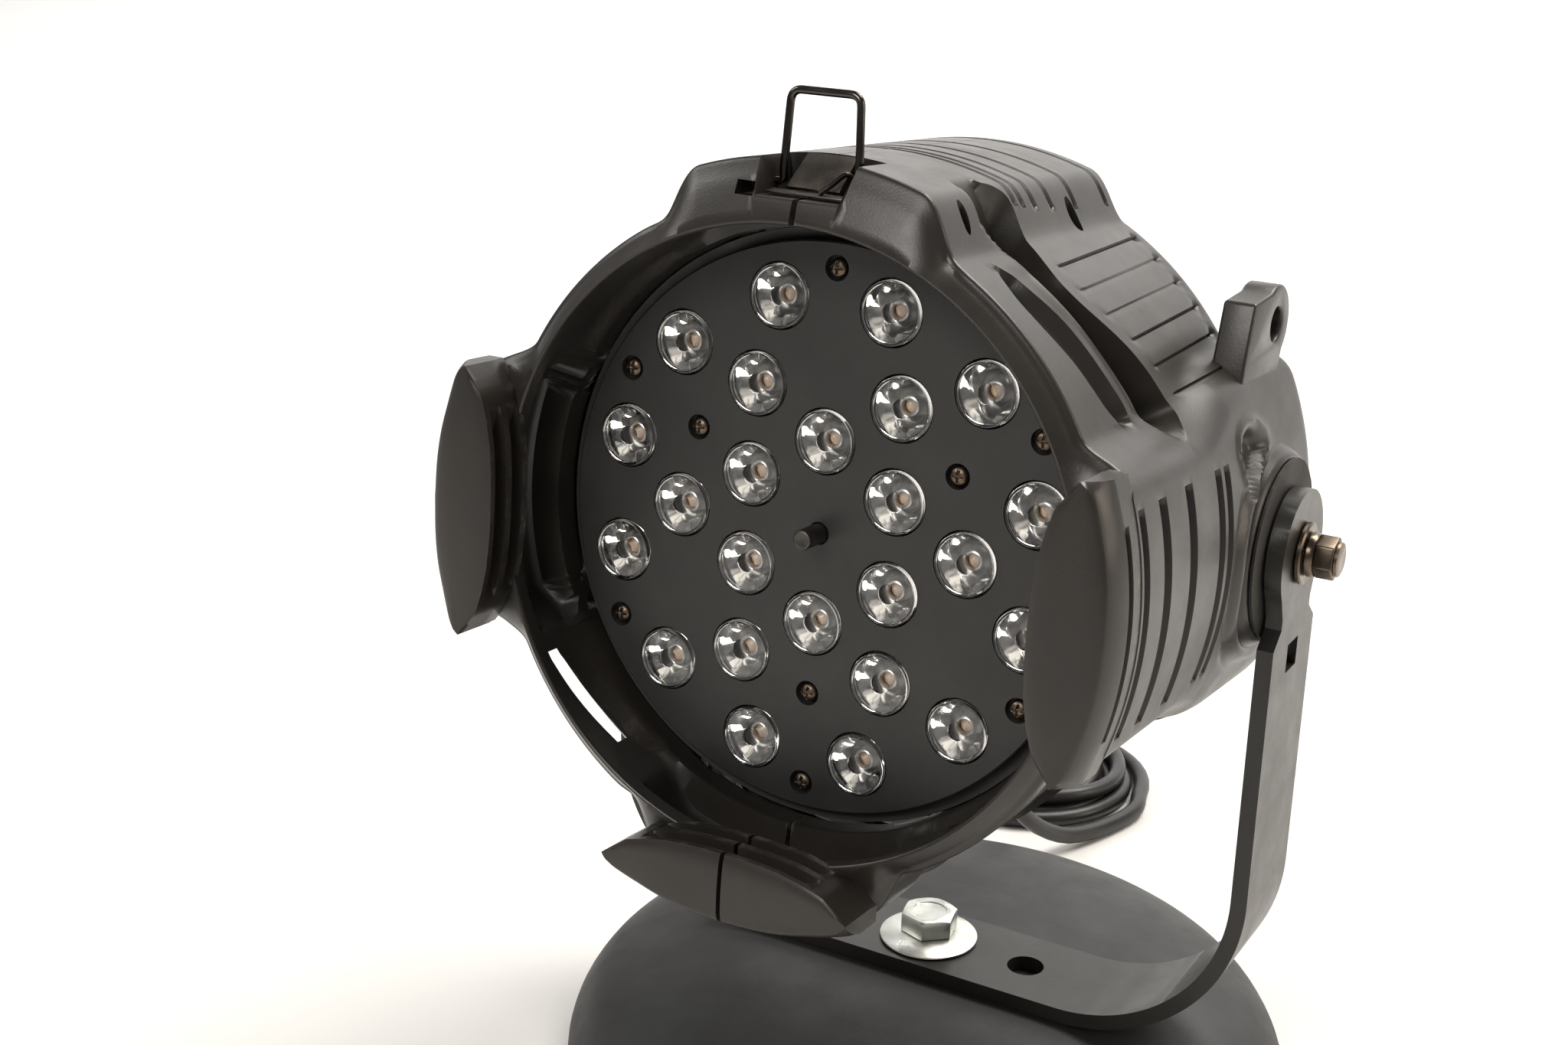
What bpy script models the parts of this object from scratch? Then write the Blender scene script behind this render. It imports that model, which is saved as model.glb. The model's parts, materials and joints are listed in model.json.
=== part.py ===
"""LED wash luminaire on a flat-bar yoke and a round domed floor base.

Frame: metres, +Z up. The origin is the centre of the base's underside, the lens side faces -Y and
+X is the right-hand side of somebody who looks at the lenses. All the named dimensions below are
in millimetres. The head's own pieces are drawn in the head's frame, whose origin is the centre of
the lens plate's front face, and hang from an empty on the tilt axis.
"""

import math

import bmesh
import bpy
from mathutils import Matrix, Vector

MM = 0.001
GAP = 0.3  # clearance between touching pieces

# Base, yoke and tilt axis
BASE_HEIGHT = 42.0
BASE_RADIUS = 136.0
YOKE_THICKNESS = 5.6
YOKE_WIDTH = 42.0
YOKE_OUTER_X = 126.0
YOKE_BEND = 60.0  # inner radius of the two big bends
PIVOT_Z = BASE_HEIGHT + 185.4
PIVOT_IN_HEAD = (0.0, 96.5, -2.0)
TILT_AT_REST = -4.5  # degrees about +X, lens side slightly up

# Head castings, radii from the optical axis
RING_FRONT_Y = -30.0
PAD_FRONT_Y = -49.0
BODY_REAR_Y = 104.0
CHEEK_REAR_Y = 128.0
BULGE_RADIUS = 118.0
WALL = 3.0
SEAM = 0.15  # each half casting stops this far from the middle plane

# Lens plate and lenses
PLATE_RADIUS = 91.5
PLATE_THICKNESS = 2.5
LENS_RADIUS = 10.0
LENS_RINGS = ((75.0, 12, 15.0), (50.8, 6, 30.0), (29.5, 6, 0.0))  # radius, count, first angle
SCREW_RINGS = ((83.5, 6, 0.0), (53.0, 3, 60.0))
BOARD_Y = 13.0

# Mains lead, lying on the table behind the base
LEAD_DIAMETER = 7.5
COIL_CENTRE = (-66.0, 236.0)
COIL_MEAN_RADIUS = 43.0
COIL_HALF_WIDTH = 11.5
COIL_HEIGHT = 22.0


# ---------------------------------------------------------------- scene helpers


def clear_scene():
    for obj in list(bpy.data.objects):
        bpy.data.objects.remove(obj, do_unlink=True)
    for collection in list(bpy.data.collections):
        bpy.data.collections.remove(collection)


def make_collection(name):
    collection = bpy.data.collections.new(name)
    bpy.context.scene.collection.children.link(collection)
    return collection


def material(name, colour, roughness, metallic=0.0, transmission=0.0):
    mat = bpy.data.materials.new(name)
    mat.use_nodes = True
    shader = mat.node_tree.nodes["Principled BSDF"]
    shader.inputs["Base Color"].default_value = (*colour, 1.0)
    shader.inputs["Roughness"].default_value = roughness
    shader.inputs["Metallic"].default_value = metallic
    shader.inputs["Transmission Weight"].default_value = transmission
    mat.diffuse_color = (*colour, 1.0)
    return mat


def is_flat(face):
    """Whether a four-sided face lies in one plane, to a hundredth of a micron."""
    a, b, c, d = (v.co for v in face.verts)
    normal = (b - a).cross(c - a)
    return normal.length < 1e-12 or abs((d - a).dot(normal.normalized())) < 1e-8


def finish_mesh(bm, smooth_angle=35.0):
    """Scale a millimetre bmesh to metres and turn it into a mesh with smooth round faces."""
    bmesh.ops.scale(bm, vec=(MM, MM, MM), verts=bm.verts)
    bent = [f for f in bm.faces if len(f.verts) == 4 and not is_flat(f)]
    bmesh.ops.triangulate(bm, faces=bent)
    bmesh.ops.recalc_face_normals(bm, faces=bm.faces)
    mesh = bpy.data.meshes.new("mesh")
    bm.to_mesh(mesh)
    bm.free()
    mesh.shade_smooth()
    mesh.set_sharp_from_angle(angle=math.radians(smooth_angle))
    return mesh


def place(name, mesh, mat=None, at=(0.0, 0.0, 0.0), parent=None, into=None):
    """Make an object whose mesh is drawn about the point `at` (millimetres in the parent's frame)."""
    obj = bpy.data.objects.new(name, mesh)
    mesh.name = name
    if mat is not None:
        mesh.materials.clear()
        mesh.materials.append(mat)
    obj.location = Vector(at) * MM
    (into or PARTS).objects.link(obj)
    if parent is not None:
        obj.parent = parent
    return obj


def as_cutter(name, mesh, parent=None):
    obj = place(name, mesh, parent=parent, into=CUTTERS)
    obj.hide_render = True
    obj.display_type = "WIRE"
    return obj


def boolean(obj, tool, operation):
    mod = obj.modifiers.new(operation.lower(), "BOOLEAN")
    mod.operation = operation
    mod.solver = "EXACT"
    mod.object = tool


def evaluated_mesh(obj):
    """The mesh of an object with its modifiers applied, without slivers of no length."""
    graph = bpy.context.evaluated_depsgraph_get()
    mesh = bpy.data.meshes.new_from_object(obj.evaluated_get(graph))
    bm = bmesh.new()
    bm.from_mesh(mesh)
    bmesh.ops.dissolve_degenerate(bm, edges=bm.edges, dist=0.0000002)
    bm.to_mesh(mesh)
    bm.free()
    return mesh


# ---------------------------------------------------------------- shape helpers (millimetres)


def add_box(bm, low, high):
    low, high = Vector(low), Vector(high)
    matrix = Matrix.Translation((low + high) / 2) @ Matrix.Diagonal((*(high - low), 1.0))
    return bmesh.ops.create_cube(bm, size=1.0, matrix=matrix)["verts"]


def add_cylinder(bm, centre, radius, length, axis="Y", sides=24, top_radius=None, turn=0.0):
    """A cylinder or cone centred on `centre`, with its axis along X, Y or Z."""
    spin = {
        "X": Matrix.Rotation(math.radians(90), 4, "Y"),
        "Y": Matrix.Rotation(math.radians(-90), 4, "X"),
        "Z": Matrix.Identity(4),
    }[axis]
    matrix = Matrix.Translation(centre) @ spin @ Matrix.Rotation(math.radians(turn), 4, "Z")
    bmesh.ops.create_cone(
        bm,
        cap_ends=True,
        segments=sides,
        radius1=radius,
        radius2=radius if top_radius is None else top_radius,
        depth=length,
        matrix=matrix,
    )


def box_mesh(low, high, bevel=0.0):
    bm = bmesh.new()
    add_box(bm, low, high)
    if bevel:
        bmesh.ops.bevel(
            bm, geom=list(bm.edges), offset=bevel, segments=1, affect="EDGES", clamp_overlap=True
        )
    return finish_mesh(bm)


def cylinder_mesh(centre, radius, length, axis="Y", sides=24, top_radius=None, turn=0.0):
    bm = bmesh.new()
    add_cylinder(bm, centre, radius, length, axis, sides, top_radius, turn)
    return finish_mesh(bm)


def turned(name, profile, mat, steps, at=(0.0, 0.0, 0.0), rotation=(0.0, 0.0, 0.0), parent=None):
    """A turned solid: (radius, height) points down the outer side, spun about the local Z axis."""
    bm = bmesh.new()
    verts = [bm.verts.new((r * MM, 0.0, z * MM)) for r, z in profile]
    for a, b in zip(verts, verts[1:]):
        bm.edges.new((a, b))
    if profile[0][0] > 0.0:
        bm.edges.new((verts[-1], verts[0]))
    mesh = bpy.data.meshes.new(name)
    bm.to_mesh(mesh)
    bm.free()
    obj = place(name, mesh, mat, at, parent)
    obj.rotation_euler = [math.radians(a) for a in rotation]
    screw = obj.modifiers.new("spin", "SCREW")
    screw.steps = steps
    screw.render_steps = steps
    screw.use_merge_vertices = True
    screw.merge_threshold = 0.00001
    screw.use_smooth_shade = True
    return obj


def prism(outline, low, high, axis="Y"):
    """A bmesh prism from a closed outline. The outline's pairs are (x, z), (y, z) or (x, y)."""
    order = {
        "Y": lambda p, s: (p[0], s, p[1]),
        "X": lambda p, s: (s, p[0], p[1]),
        "Z": lambda p, s: (p[0], p[1], s),
    }[axis]
    bm = bmesh.new()
    near = [bm.verts.new(order(p, low)) for p in outline]
    far = [bm.verts.new(order(p, high)) for p in outline]
    bm.faces.new(near)
    bm.faces.new(list(reversed(far)))
    for i in range(len(outline)):
        j = (i + 1) % len(outline)
        bm.faces.new((near[i], far[i], far[j], near[j]))
    return bm


def arc(centre, radius, start, end, steps):
    """Points on an arc, with angles in degrees from the first axis to the second."""
    angles = [math.radians(start + (end - start) * i / steps) for i in range(steps + 1)]
    return [(centre[0] + radius * math.cos(a), centre[1] + radius * math.sin(a)) for a in angles]


def ring_sector(bm, r_low, r_high, y_low, y_high, start, end, steps):
    """A block between two radii about the optical axis. Angles run from the top towards +X."""
    rows = []
    for i in range(steps + 1):
        a = math.radians(start + (end - start) * i / steps)
        s, c = math.sin(a), math.cos(a)
        corners = ((r_low, y_low), (r_high, y_low), (r_high, y_high), (r_low, y_high))
        rows.append([bm.verts.new((r * s, y, r * c)) for r, y in corners])
    bm.faces.new(rows[0])
    bm.faces.new(list(reversed(rows[-1])))
    for one, two in zip(rows, rows[1:]):
        for k in range(4):
            m = (k + 1) % 4
            bm.faces.new((one[k], two[k], two[m], one[m]))


def smooth(t):
    t = min(1.0, max(0.0, t))
    return t * t * (3.0 - 2.0 * t)


def spline(points, per_span):
    """Points along a Catmull-Rom curve through the given route points."""
    route = [Vector(p) for p in points]
    ends = [2 * route[0] - route[1], *route, 2 * route[-1] - route[-2]]
    out = []
    for i in range(1, len(ends) - 2):
        p0, p1, p2, p3 = ends[i - 1 : i + 3]
        for k in range(per_span):
            t = k / per_span
            out.append(
                0.5
                * (
                    2 * p1
                    + (p2 - p0) * t
                    + (2 * p0 - 5 * p1 + 4 * p2 - p3) * t * t
                    + (3 * p1 - p0 - 3 * p2 + p3) * t * t * t
                )
            )
    out.append(route[-1])
    return out


def tube(name, points, diameter, mat, resolution=2, parent=None):
    """A round wire or lead along points in millimetres."""
    data = bpy.data.curves.new(name, "CURVE")
    data.dimensions = "3D"
    data.bevel_depth = diameter / 2 * MM
    data.bevel_resolution = resolution
    data.use_fill_caps = True
    line = data.splines.new("POLY")
    line.points.add(len(points) - 1)
    for node, p in zip(line.points, points):
        node.co = (*(Vector(p) * MM), 1.0)
    data.materials.append(mat)
    obj = bpy.data.objects.new(name, data)
    PARTS.objects.link(obj)
    obj.parent = parent
    return obj


# ---------------------------------------------------------------- base and yoke


def build_base(mats):
    outer = (
        (0.0, BASE_HEIGHT),
        (58.0, BASE_HEIGHT),
        (82.0, BASE_HEIGHT - 1.8),
        (101.0, BASE_HEIGHT - 5.0),
        (116.0, BASE_HEIGHT - 10.5),
        (126.0, BASE_HEIGHT - 17.0),
        (133.5, BASE_HEIGHT - 28.0),
        (BASE_RADIUS, 3.0),
    )
    inner = ((BASE_RADIUS - 3.0, 3.0), (130.6, 14.0), (114.0, BASE_HEIGHT - 13.0), (76.0, BASE_HEIGHT - 4.5))
    shell = [(6.3, BASE_HEIGHT), *outer[1:], *inner, (6.3, BASE_HEIGHT - 3.5)]
    turned("base_dome", shell, mats["base_black"], 40)
    weight = ((6.3, 20.0), (24.0, 20.0), (26.0, 16.0), (126.0, 16.0), (126.0, 4.5))
    turned("base_weight", (*weight, (6.3, 4.5)), mats["cast_weight"], 32)
    foot = ((0.0, 4.2), (129.0, 4.2), (129.0, 2.7), (135.0, 2.0), (133.5, 0.0), (0.0, 0.0))
    turned("base_foot_pad", foot, mats["rubber"], 32)

    bm = bmesh.new()
    head_z = BASE_HEIGHT + YOKE_THICKNESS + 0.6 + 3.2
    add_cylinder(bm, (0, 0, head_z + 3.9), 10.9, 7.2, "Z", 6, turn=12)
    add_cylinder(bm, (0, 0, head_z + 7.8), 9.6, 0.8, "Z", 12, top_radius=8.6)
    stem = bmesh.new()
    add_cylinder(stem, (0, 0, (head_z + 1 + 7) / 2), 5.9, head_z + 1 - 7, "Z", 16)
    bolt = place("base_bolt", finish_mesh(bm), mats["zinc"])
    tool = as_cutter("base_bolt_stem", finish_mesh(stem))
    boolean(bolt, tool, "UNION")

    top = BASE_HEIGHT + YOKE_THICKNESS + 0.6
    dish = ((6.3, top + 3.1), (11.0, top + 3.1), (15.0, top + 2.2), (18.3, top + 0.9), (18.3, top), (6.3, top))
    turned("base_washer", dish, mats["zinc"], 24)


def yoke_half_outline():
    """Inner and outer faces of the bent bar in the XZ plane, for the +X half."""
    floor = BASE_HEIGHT + GAP
    inner_x = YOKE_OUTER_X - YOKE_THICKNESS
    centre = (inner_x - YOKE_BEND, floor + YOKE_THICKNESS + YOKE_BEND)
    top = PIVOT_Z + YOKE_WIDTH / 2
    outer = [(0.0, floor), *arc(centre, YOKE_BEND + YOKE_THICKNESS, -90, 0, 9), (YOKE_OUTER_X, top)]
    inner = [(inner_x, top), *arc(centre, YOKE_BEND, 0, -90, 9), (0.0, floor + YOKE_THICKNESS)]
    return outer, inner


def keyhole_outline():
    """The end of the yoke arm seen from the side: round end, narrow neck, full width below."""
    half = YOKE_WIDTH / 2
    neck = PIVOT_Z - 19.0
    right = arc((0.0, PIVOT_Z), half, 90, -33, 8)
    side = [(14.5, neck), (14.5, neck - 3.5), (half, neck - 9.0)]
    points = [*right, *side]
    left = [(-y, z) for y, z in reversed(points)]
    return points, left


def build_yoke(mats):
    outer, inner = yoke_half_outline()
    left_outer = [(-x, z) for x, z in reversed(outer)][:-1]
    left_inner = [(-x, z) for x, z in reversed(inner)][1:]
    bm = prism([*left_outer, *outer, *inner, *left_inner], -YOKE_WIDTH / 2, YOKE_WIDTH / 2, "Y")
    yoke = place("yoke", finish_mesh(bm), mats["yoke_black"])

    right, left = keyhole_outline()
    low = PIVOT_Z - 60.0
    high = PIVOT_Z + 40.0
    trim = bmesh.new()
    for points in (right, left):
        side = 1 if points is right else -1
        far = [(side * 40.0, low if side > 0 else high), (side * 40.0, high if side > 0 else low)]
        edge = [*points, (side * 21.0, low)] if side > 0 else [(side * 21.0, low), *points]
        if side > 0:
            outline = [(0.0, high), *edge, *far]
        else:
            outline = [*edge, (0.0, high), *far]
        piece = prism(outline, -140.0, 140.0, "X")
        mesh = bpy.data.meshes.new("trim")
        bmesh.ops.recalc_face_normals(piece, faces=piece.faces)
        piece.to_mesh(mesh)
        piece.free()
        trim.from_mesh(mesh)
    boolean(yoke, as_cutter("yoke_end_trim", finish_mesh(trim)), "DIFFERENCE")

    holes = bmesh.new()
    add_cylinder(holes, (0, 0, BASE_HEIGHT + 3), 6.3, 16, "Z", 16)
    for x in (-40.0, 40.0):
        add_cylinder(holes, (x, 0, BASE_HEIGHT + 3), 6.8, 16, "Z", 16)
    for x in (-123.0, 123.0):
        add_cylinder(holes, (x, 0, PIVOT_Z), 4.4, 16, "X", 16)
        add_box(holes, (x - 8, -5.3, PIVOT_Z - 40.5), (x + 8, 5.3, PIVOT_Z - 30.5))
    boolean(yoke, as_cutter("yoke_holes", finish_mesh(holes)), "DIFFERENCE")


# ---------------------------------------------------------------- half castings


def bulge_weight(phi):
    """1 on the four raised bands at the top, bottom and sides, 0 on the diagonals between them."""
    away = abs((phi + 45.0) % 90.0 - 45.0)
    return 1.0 - smooth((away - 18.5) / 10.0)


def outer_radius(phi, y):
    """Outer radius of the casting at an angle from the top and a place along the optical axis."""
    stations = (
        (-30.0, 106.0),
        (-28.5, 107.0),
        (-17.0, 107.0),
        (-15.5, 101.5),
        (-4.0, 101.5),
        (-2.5, 106.0),
        (4.5, 106.0),
        (6.0, 98.8),
        (28.0, 98.8),
        (30.5, 108.0),
        (60.0, 109.0),
        (104.0, 108.5),
    )
    base = stations[-1][1]
    for (y0, r0), (y1, r1) in zip(stations, stations[1:]):
        if y0 <= y <= y1:
            base = r0 + (r1 - r0) * (y - y0) / (y1 - y0)
            break
    crown = BULGE_RADIUS - 2.0 * smooth((-28.5 - y) / 1.5)
    return base + (crown - base) * bulge_weight(phi)


def inner_radius(phi, y):
    """Inner radius: front rim, hollow behind it, a second rim at the lens plate, then the body."""
    weight = bulge_weight(phi)
    if y < -23.9:
        return 98.5
    if y < -5.9:
        return 98.5 + 15.0 * weight
    if y < 4.6:
        return 95.6 + 0.4 * weight
    if y < 30.9:
        return 95.6 + (BULGE_RADIUS - WALL - 95.6) * weight
    return 105.8 + (BULGE_RADIUS - WALL - 105.8) * weight


def rear_y(phi):
    """The two side bands run on past the body as cheeks that carry the tilt axis."""
    away = abs(abs(phi) - 90.0)
    return BODY_REAR_Y + (CHEEK_REAR_Y - BODY_REAR_Y) * (1.0 - smooth((away - 24.0) / 9.0))


def casting_loft():
    """One half casting as a closed shell on the +X side."""
    angles = [0, 10, 19, 23, 26, 30, 40, 50, 60, 64, 67, 71, 80, 90]
    angles = angles + [180 - a for a in reversed(angles[:-1])]
    outer_y = [-30, -28.5, -17, -15.5, -4, -2.5, 4.5, 6, 28, 30.5, 60, 104]
    inner_y = [-30, -24, -23.8, -6, -5.8, 4.5, 4.7, 30.8, 31, 60, 104]
    bm = bmesh.new()

    def column(phi, stations, radius):
        a = math.radians(phi)
        out = []
        for y in stations:
            r = radius(phi, y)
            place_y = y if y <= 60 else 60 + (y - 60) * (rear_y(phi) - 60) / (BODY_REAR_Y - 60)
            x = r * math.sin(a) if 0 < phi < 180 else SEAM
            out.append(bm.verts.new((x, place_y, r * math.cos(a))))
        return out

    outside = [column(p, outer_y, outer_radius) for p in angles]
    inside = [column(p, inner_y, inner_radius) for p in angles]
    for grid in (outside, inside):
        for one, two in zip(grid, grid[1:]):
            for k in range(len(one) - 1):
                bm.faces.new((one[k], one[k + 1], two[k + 1], two[k]))
    for i in range(len(angles) - 1):
        for k in (0, -1):
            bm.faces.new((outside[i][k], outside[i + 1][k], inside[i + 1][k], inside[i][k]))
    for i in (0, -1):
        bm.faces.new([*outside[i], *reversed(inside[i])])
    return finish_mesh(bm, 30.0)


def pad_sections(half_only):
    """Outlines of a lens-shaped frame pad: across (u) and radius (v), from its tip to its tip."""
    start = 0.0 if half_only else -1.0
    steps = 5 if half_only else 10
    places = [start + (1.0 - start) * i / steps for i in range(steps + 1)]
    sections = []
    for y, shrink, lift in ((-49.0, 1.6, 0.0), (-47.6, 0.0, 0.0), (-40.0, 0.0, 1.4), (-28.6, 0.0, 3.6)):
        outer, inner = [], []
        for s in places:
            u = s * (44.0 - shrink)
            bow = 1.0 - abs(s) ** 2.4
            crown = 103.6 + (11.0 - shrink + lift) * bow
            edge = math.sqrt(max(0.0, 117.5**2 - u * u))
            outer.append((u, min(crown, edge)))
            root = 102.6 - (11.0 - shrink) * (1.0 - abs(s) ** 2.6)
            inner.append((u, root))
        sections.append((y, outer, inner))
    return sections


def pad_mesh(direction):
    """A pad at the +X side, or the +X half of the bottom one, as a loft of its sections."""
    bm = bmesh.new()
    rings = []
    for y, outer, inner in pad_sections(direction == "bottom"):
        points = [*outer, *reversed(inner)]
        if direction == "side":
            rings.append([bm.verts.new((v, y, -u)) for u, v in points])
        else:
            rings.append([bm.verts.new((max(u, SEAM), y, -v)) for u, v in points])
    count = len(rings[0])
    for one, two in zip(rings, rings[1:]):
        for k in range(count):
            m = (k + 1) % count
            bm.faces.new((one[k], one[m], two[m], two[k]))
    bm.faces.new(rings[0])
    bm.faces.new(list(reversed(rings[-1])))
    return finish_mesh(bm, 30.0)


def lug_mesh():
    """The safety-cable lug: a flat plate that rises from the right shoulder, with an eye."""
    y, z = 107.5, 68.5
    tip = arc((y, z), 13.0, 125, -45, 8)
    outline = [(84.0, 77.5), *tip, (112.0, 44.0), (74.0, 44.0), (76.0, 57.0)]
    return finish_mesh(prism(outline, 94.0, 105.0, "X"))


def groove_cutters(bm):
    """Round-ended grooves around the raised bands: across the top and bottom, and on the side."""
    for y in (29.0, 34.0, 42.0, 54.0, 72.0, 97.0):
        ring_sector(bm, 116.3, 121.0, y - 1.1, y + 1.1, -3.0, 22.0, 3)
    for y in (-23.5, -8.5, 13.5, 41.0):
        ring_sector(bm, 116.3, 121.0, y - 1.4, y + 1.4, 74.0, 106.0, 4)


def casting_cutters():
    """Everything that is cut from the +X half casting."""
    bm = bmesh.new()
    groove_cutters(bm)
    for middle in (45.0, 135.0):
        ring_sector(bm, 90.0, 104.0, -12.0, -5.2, middle - 10.0, middle + 10.0, 3)
    add_cylinder(bm, (0, -42.0, 0), 100.5, 5.4, "Y", 48)
    add_cylinder(bm, (0, -33.4, 0), 100.5, 5.4, "Y", 48)
    add_cylinder(bm, (108.0, PIVOT_IN_HEAD[1], PIVOT_IN_HEAD[2]), 3.6, 40.0, "X", 12)
    add_cylinder(bm, (100.0, 107.5, 68.5), 5.6, 40.0, "X", 12)
    return as_cutter("casting_cutters", finish_mesh(bm), HEAD)


def build_castings(mats):
    shell = place("casting_half", casting_loft(), parent=HEAD)
    boss = bmesh.new()
    _, y, z = PIVOT_IN_HEAD
    add_cylinder(boss, (112.8, y, z), 31.2, 10.8, "X", 32)
    for name, mesh in (
        ("pad_side", pad_mesh("side")),
        ("pad_bottom", pad_mesh("bottom")),
        ("pivot_boss", finish_mesh(boss)),
    ):
        boolean(shell, as_cutter(name, mesh, HEAD), "UNION")
    cut = casting_cutters()
    notch = as_cutter("catch_notch", box_mesh((-16.0, -36.0, 106.0), (16.0, -4.0, 125.0)), HEAD)
    plain = place("casting_left", shell.data.copy(), parent=HEAD)
    for mod in shell.modifiers:
        boolean(plain, mod.object, mod.operation)
    for tool in (cut, notch):
        boolean(plain, tool, "DIFFERENCE")
    boolean(shell, as_cutter("safety_lug", lug_mesh(), HEAD), "UNION")
    for tool in (cut, notch):
        boolean(shell, tool, "DIFFERENCE")
    bpy.context.view_layer.update()
    right_mesh, left_mesh = evaluated_mesh(shell), evaluated_mesh(plain)
    for obj in (shell, plain):
        bpy.data.objects.remove(obj)
    left_mesh.transform(Matrix.Diagonal((-1.0, 1.0, 1.0, 1.0)))
    left_mesh.flip_normals()
    for name, mesh in (("housing_right", right_mesh), ("housing_left", left_mesh)):
        mesh.shade_smooth()
        mesh.set_sharp_from_angle(angle=math.radians(30))
        place(name, mesh, mats["housing_black"], parent=HEAD)


# ---------------------------------------------------------------- lens plate and optics


def ring_places(rings):
    """Centres on rings about the optical axis, as (x, z), starting from the top towards +X."""
    places = []
    for radius, count, first in rings:
        for k in range(count):
            a = math.radians(first + 360.0 * k / count)
            places.append((radius * math.sin(a), radius * math.cos(a)))
    return places


def build_optics(mats):
    bm = bmesh.new()
    add_cylinder(bm, (0, PLATE_THICKNESS / 2, 0), PLATE_RADIUS, PLATE_THICKNESS, "Y", 64)
    plate = place("lens_plate", finish_mesh(bm), mats["plate_black"], parent=HEAD)
    holes = bmesh.new()
    for x, z in ring_places(LENS_RINGS):
        add_cylinder(holes, (x, 1, z), LENS_RADIUS + 0.6, 10, "Y", 12)
    add_cylinder(holes, (0, 1, 0), 3.6, 10, "Y", 10)
    screws = bmesh.new()
    for x, z in ring_places(SCREW_RINGS):
        add_cylinder(screws, (x, -0.2, z), 2.9, 2.6, "Y", 6)
    boolean(plate, as_cutter("plate_screws", finish_mesh(screws), HEAD), "UNION")
    boolean(plate, as_cutter("plate_holes", finish_mesh(holes), HEAD), "DIFFERENCE")

    rim = LENS_RADIUS
    profile = ((0, 0.9), (rim - 0.8, 1.2), (rim, 0.6), (rim, -0.9), (5.0, -11.6), (0, -11.6))
    for i, (x, z) in enumerate(ring_places(LENS_RINGS)):
        turned(f"lens_{i + 1:02d}", profile, mats["clear_lens"], 12, (x, 0, z), (90, 0, 0), HEAD)

    post = ((0, 11.0), (2.9, 11.0), (3.25, 10.6), (3.25, -12.6), (0, -12.6))
    turned("centre_post", post, mats["post_metal"], 16, (0, 0, 0), (90, 0, 0), HEAD)
    board = cylinder_mesh((0, BOARD_Y + 0.8, 0), 88.0, 1.6, "Y", 40)
    place("led_board", board, mats["circuit_board"], parent=HEAD)

    outline = [(-64.0, 15.0), (64.0, 15.0), (64.0, 52.0)]
    for k in range(8):
        x = 64.0 - k * 16.0
        outline += [(x - 3.0, 52.0), (x - 3.0, 23.0)]
        if k < 7:
            outline += [(x - 16.0, 23.0), (x - 16.0, 52.0)]
    outline[-1] = (-51.0, 23.0)
    outline += [(-61.0, 23.0), (-61.0, 52.0), (-64.0, 52.0)]
    sink = prism(outline, -64.0, 64.0, "Z")
    place("heat_sink", finish_mesh(sink), mats["raw_aluminium"], parent=HEAD)


# ---------------------------------------------------------------- rear of the head


def build_rear(mats):
    bm = bmesh.new()
    add_cylinder(bm, (0, 106.1, 0), 103.4, 3.6, "Y", 48)
    cover = place("rear_cover", finish_mesh(bm), mats["cover_black"], parent=HEAD)
    dome = bmesh.new()
    add_cylinder(dome, (0, 110.0, 0), 92.0, 10.0, "Y", 32, top_radius=82.0)
    boolean(cover, as_cutter("cover_dome", finish_mesh(dome), HEAD), "UNION")
    hollow = cylinder_mesh((0, 103.0, 0), 86.0, 17.6, "Y", 32, 79.0)
    boolean(cover, as_cutter("cover_hollow", hollow, HEAD), "DIFFERENCE")
    cut = bmesh.new()
    for k in range(7):
        z = 62.0 - k * 9.0
        half = math.sqrt(38.0**2 - (z - 35.0) ** 2)
        add_box(cut, (-half, 108.0, z - 2.6), (half, 120.0, z + 2.6))
    add_box(cut, (-36.4, 108.0, -34.4), (-3.6, 120.0, -19.6))
    for k in range(4):
        add_cylinder(cut, (9.0 + 10.0 * k, 114.0, -27.0), 3.2, 12, "Y", 12)
    for x in (-24.0, 24.0):
        add_cylinder(cut, (x, 114.0, -58.0), 11.4, 12, "Y", 20)
    add_cylinder(cut, (-54.0, 114.0, -40.0), 6.4, 12, "Y", 16)
    boolean(cover, as_cutter("cover_cuts", finish_mesh(cut), HEAD), "DIFFERENCE")

    window = box_mesh((-36.0, 111.0, -34.0), (-4.0, 115.6, -20.0), 0.4)
    place("display_window", window, mats["display_dark"], parent=HEAD)
    for k in range(4):
        button = ((0, 4.2), (2.4, 4.2), (2.9, 3.7), (2.9, -4.5), (4.2, -4.5), (4.2, -6.0), (0, -6.0))
        at = (9.0 + 10.0 * k, 113.0, -27.0)
        turned(f"menu_button_{k + 1}", button, mats["button_grey"], 12, at, (-90, 0, 0), HEAD)
    for name, x in (("signal_inlet", -24.0), ("signal_outlet", 24.0)):
        cup = ((0, -11.0), (8.6, -11.0), (8.6, 3.0), (13.0, 3.0), (13.0, 1.4), (11.0, 1.4), (11.0, -14.0), (0, -14.0))
        turned(name, cup, mats["socket_dark"], 16, (x, 114.0, -58.0), (-90, 0, 0), HEAD)

    gland = (
        (0, 24.0),
        (5.6, 24.0),
        (6.6, 12.0),
        (8.6, 10.0),
        (8.6, 1.4),
        (6.0, 1.4),
        (6.0, -5.0),
        (0, -5.0),
    )
    turned("cable_gland", gland, mats["gland_black"], 16, (-54.0, 114.0, -40.0), (-90, 0, 0), HEAD)


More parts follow.
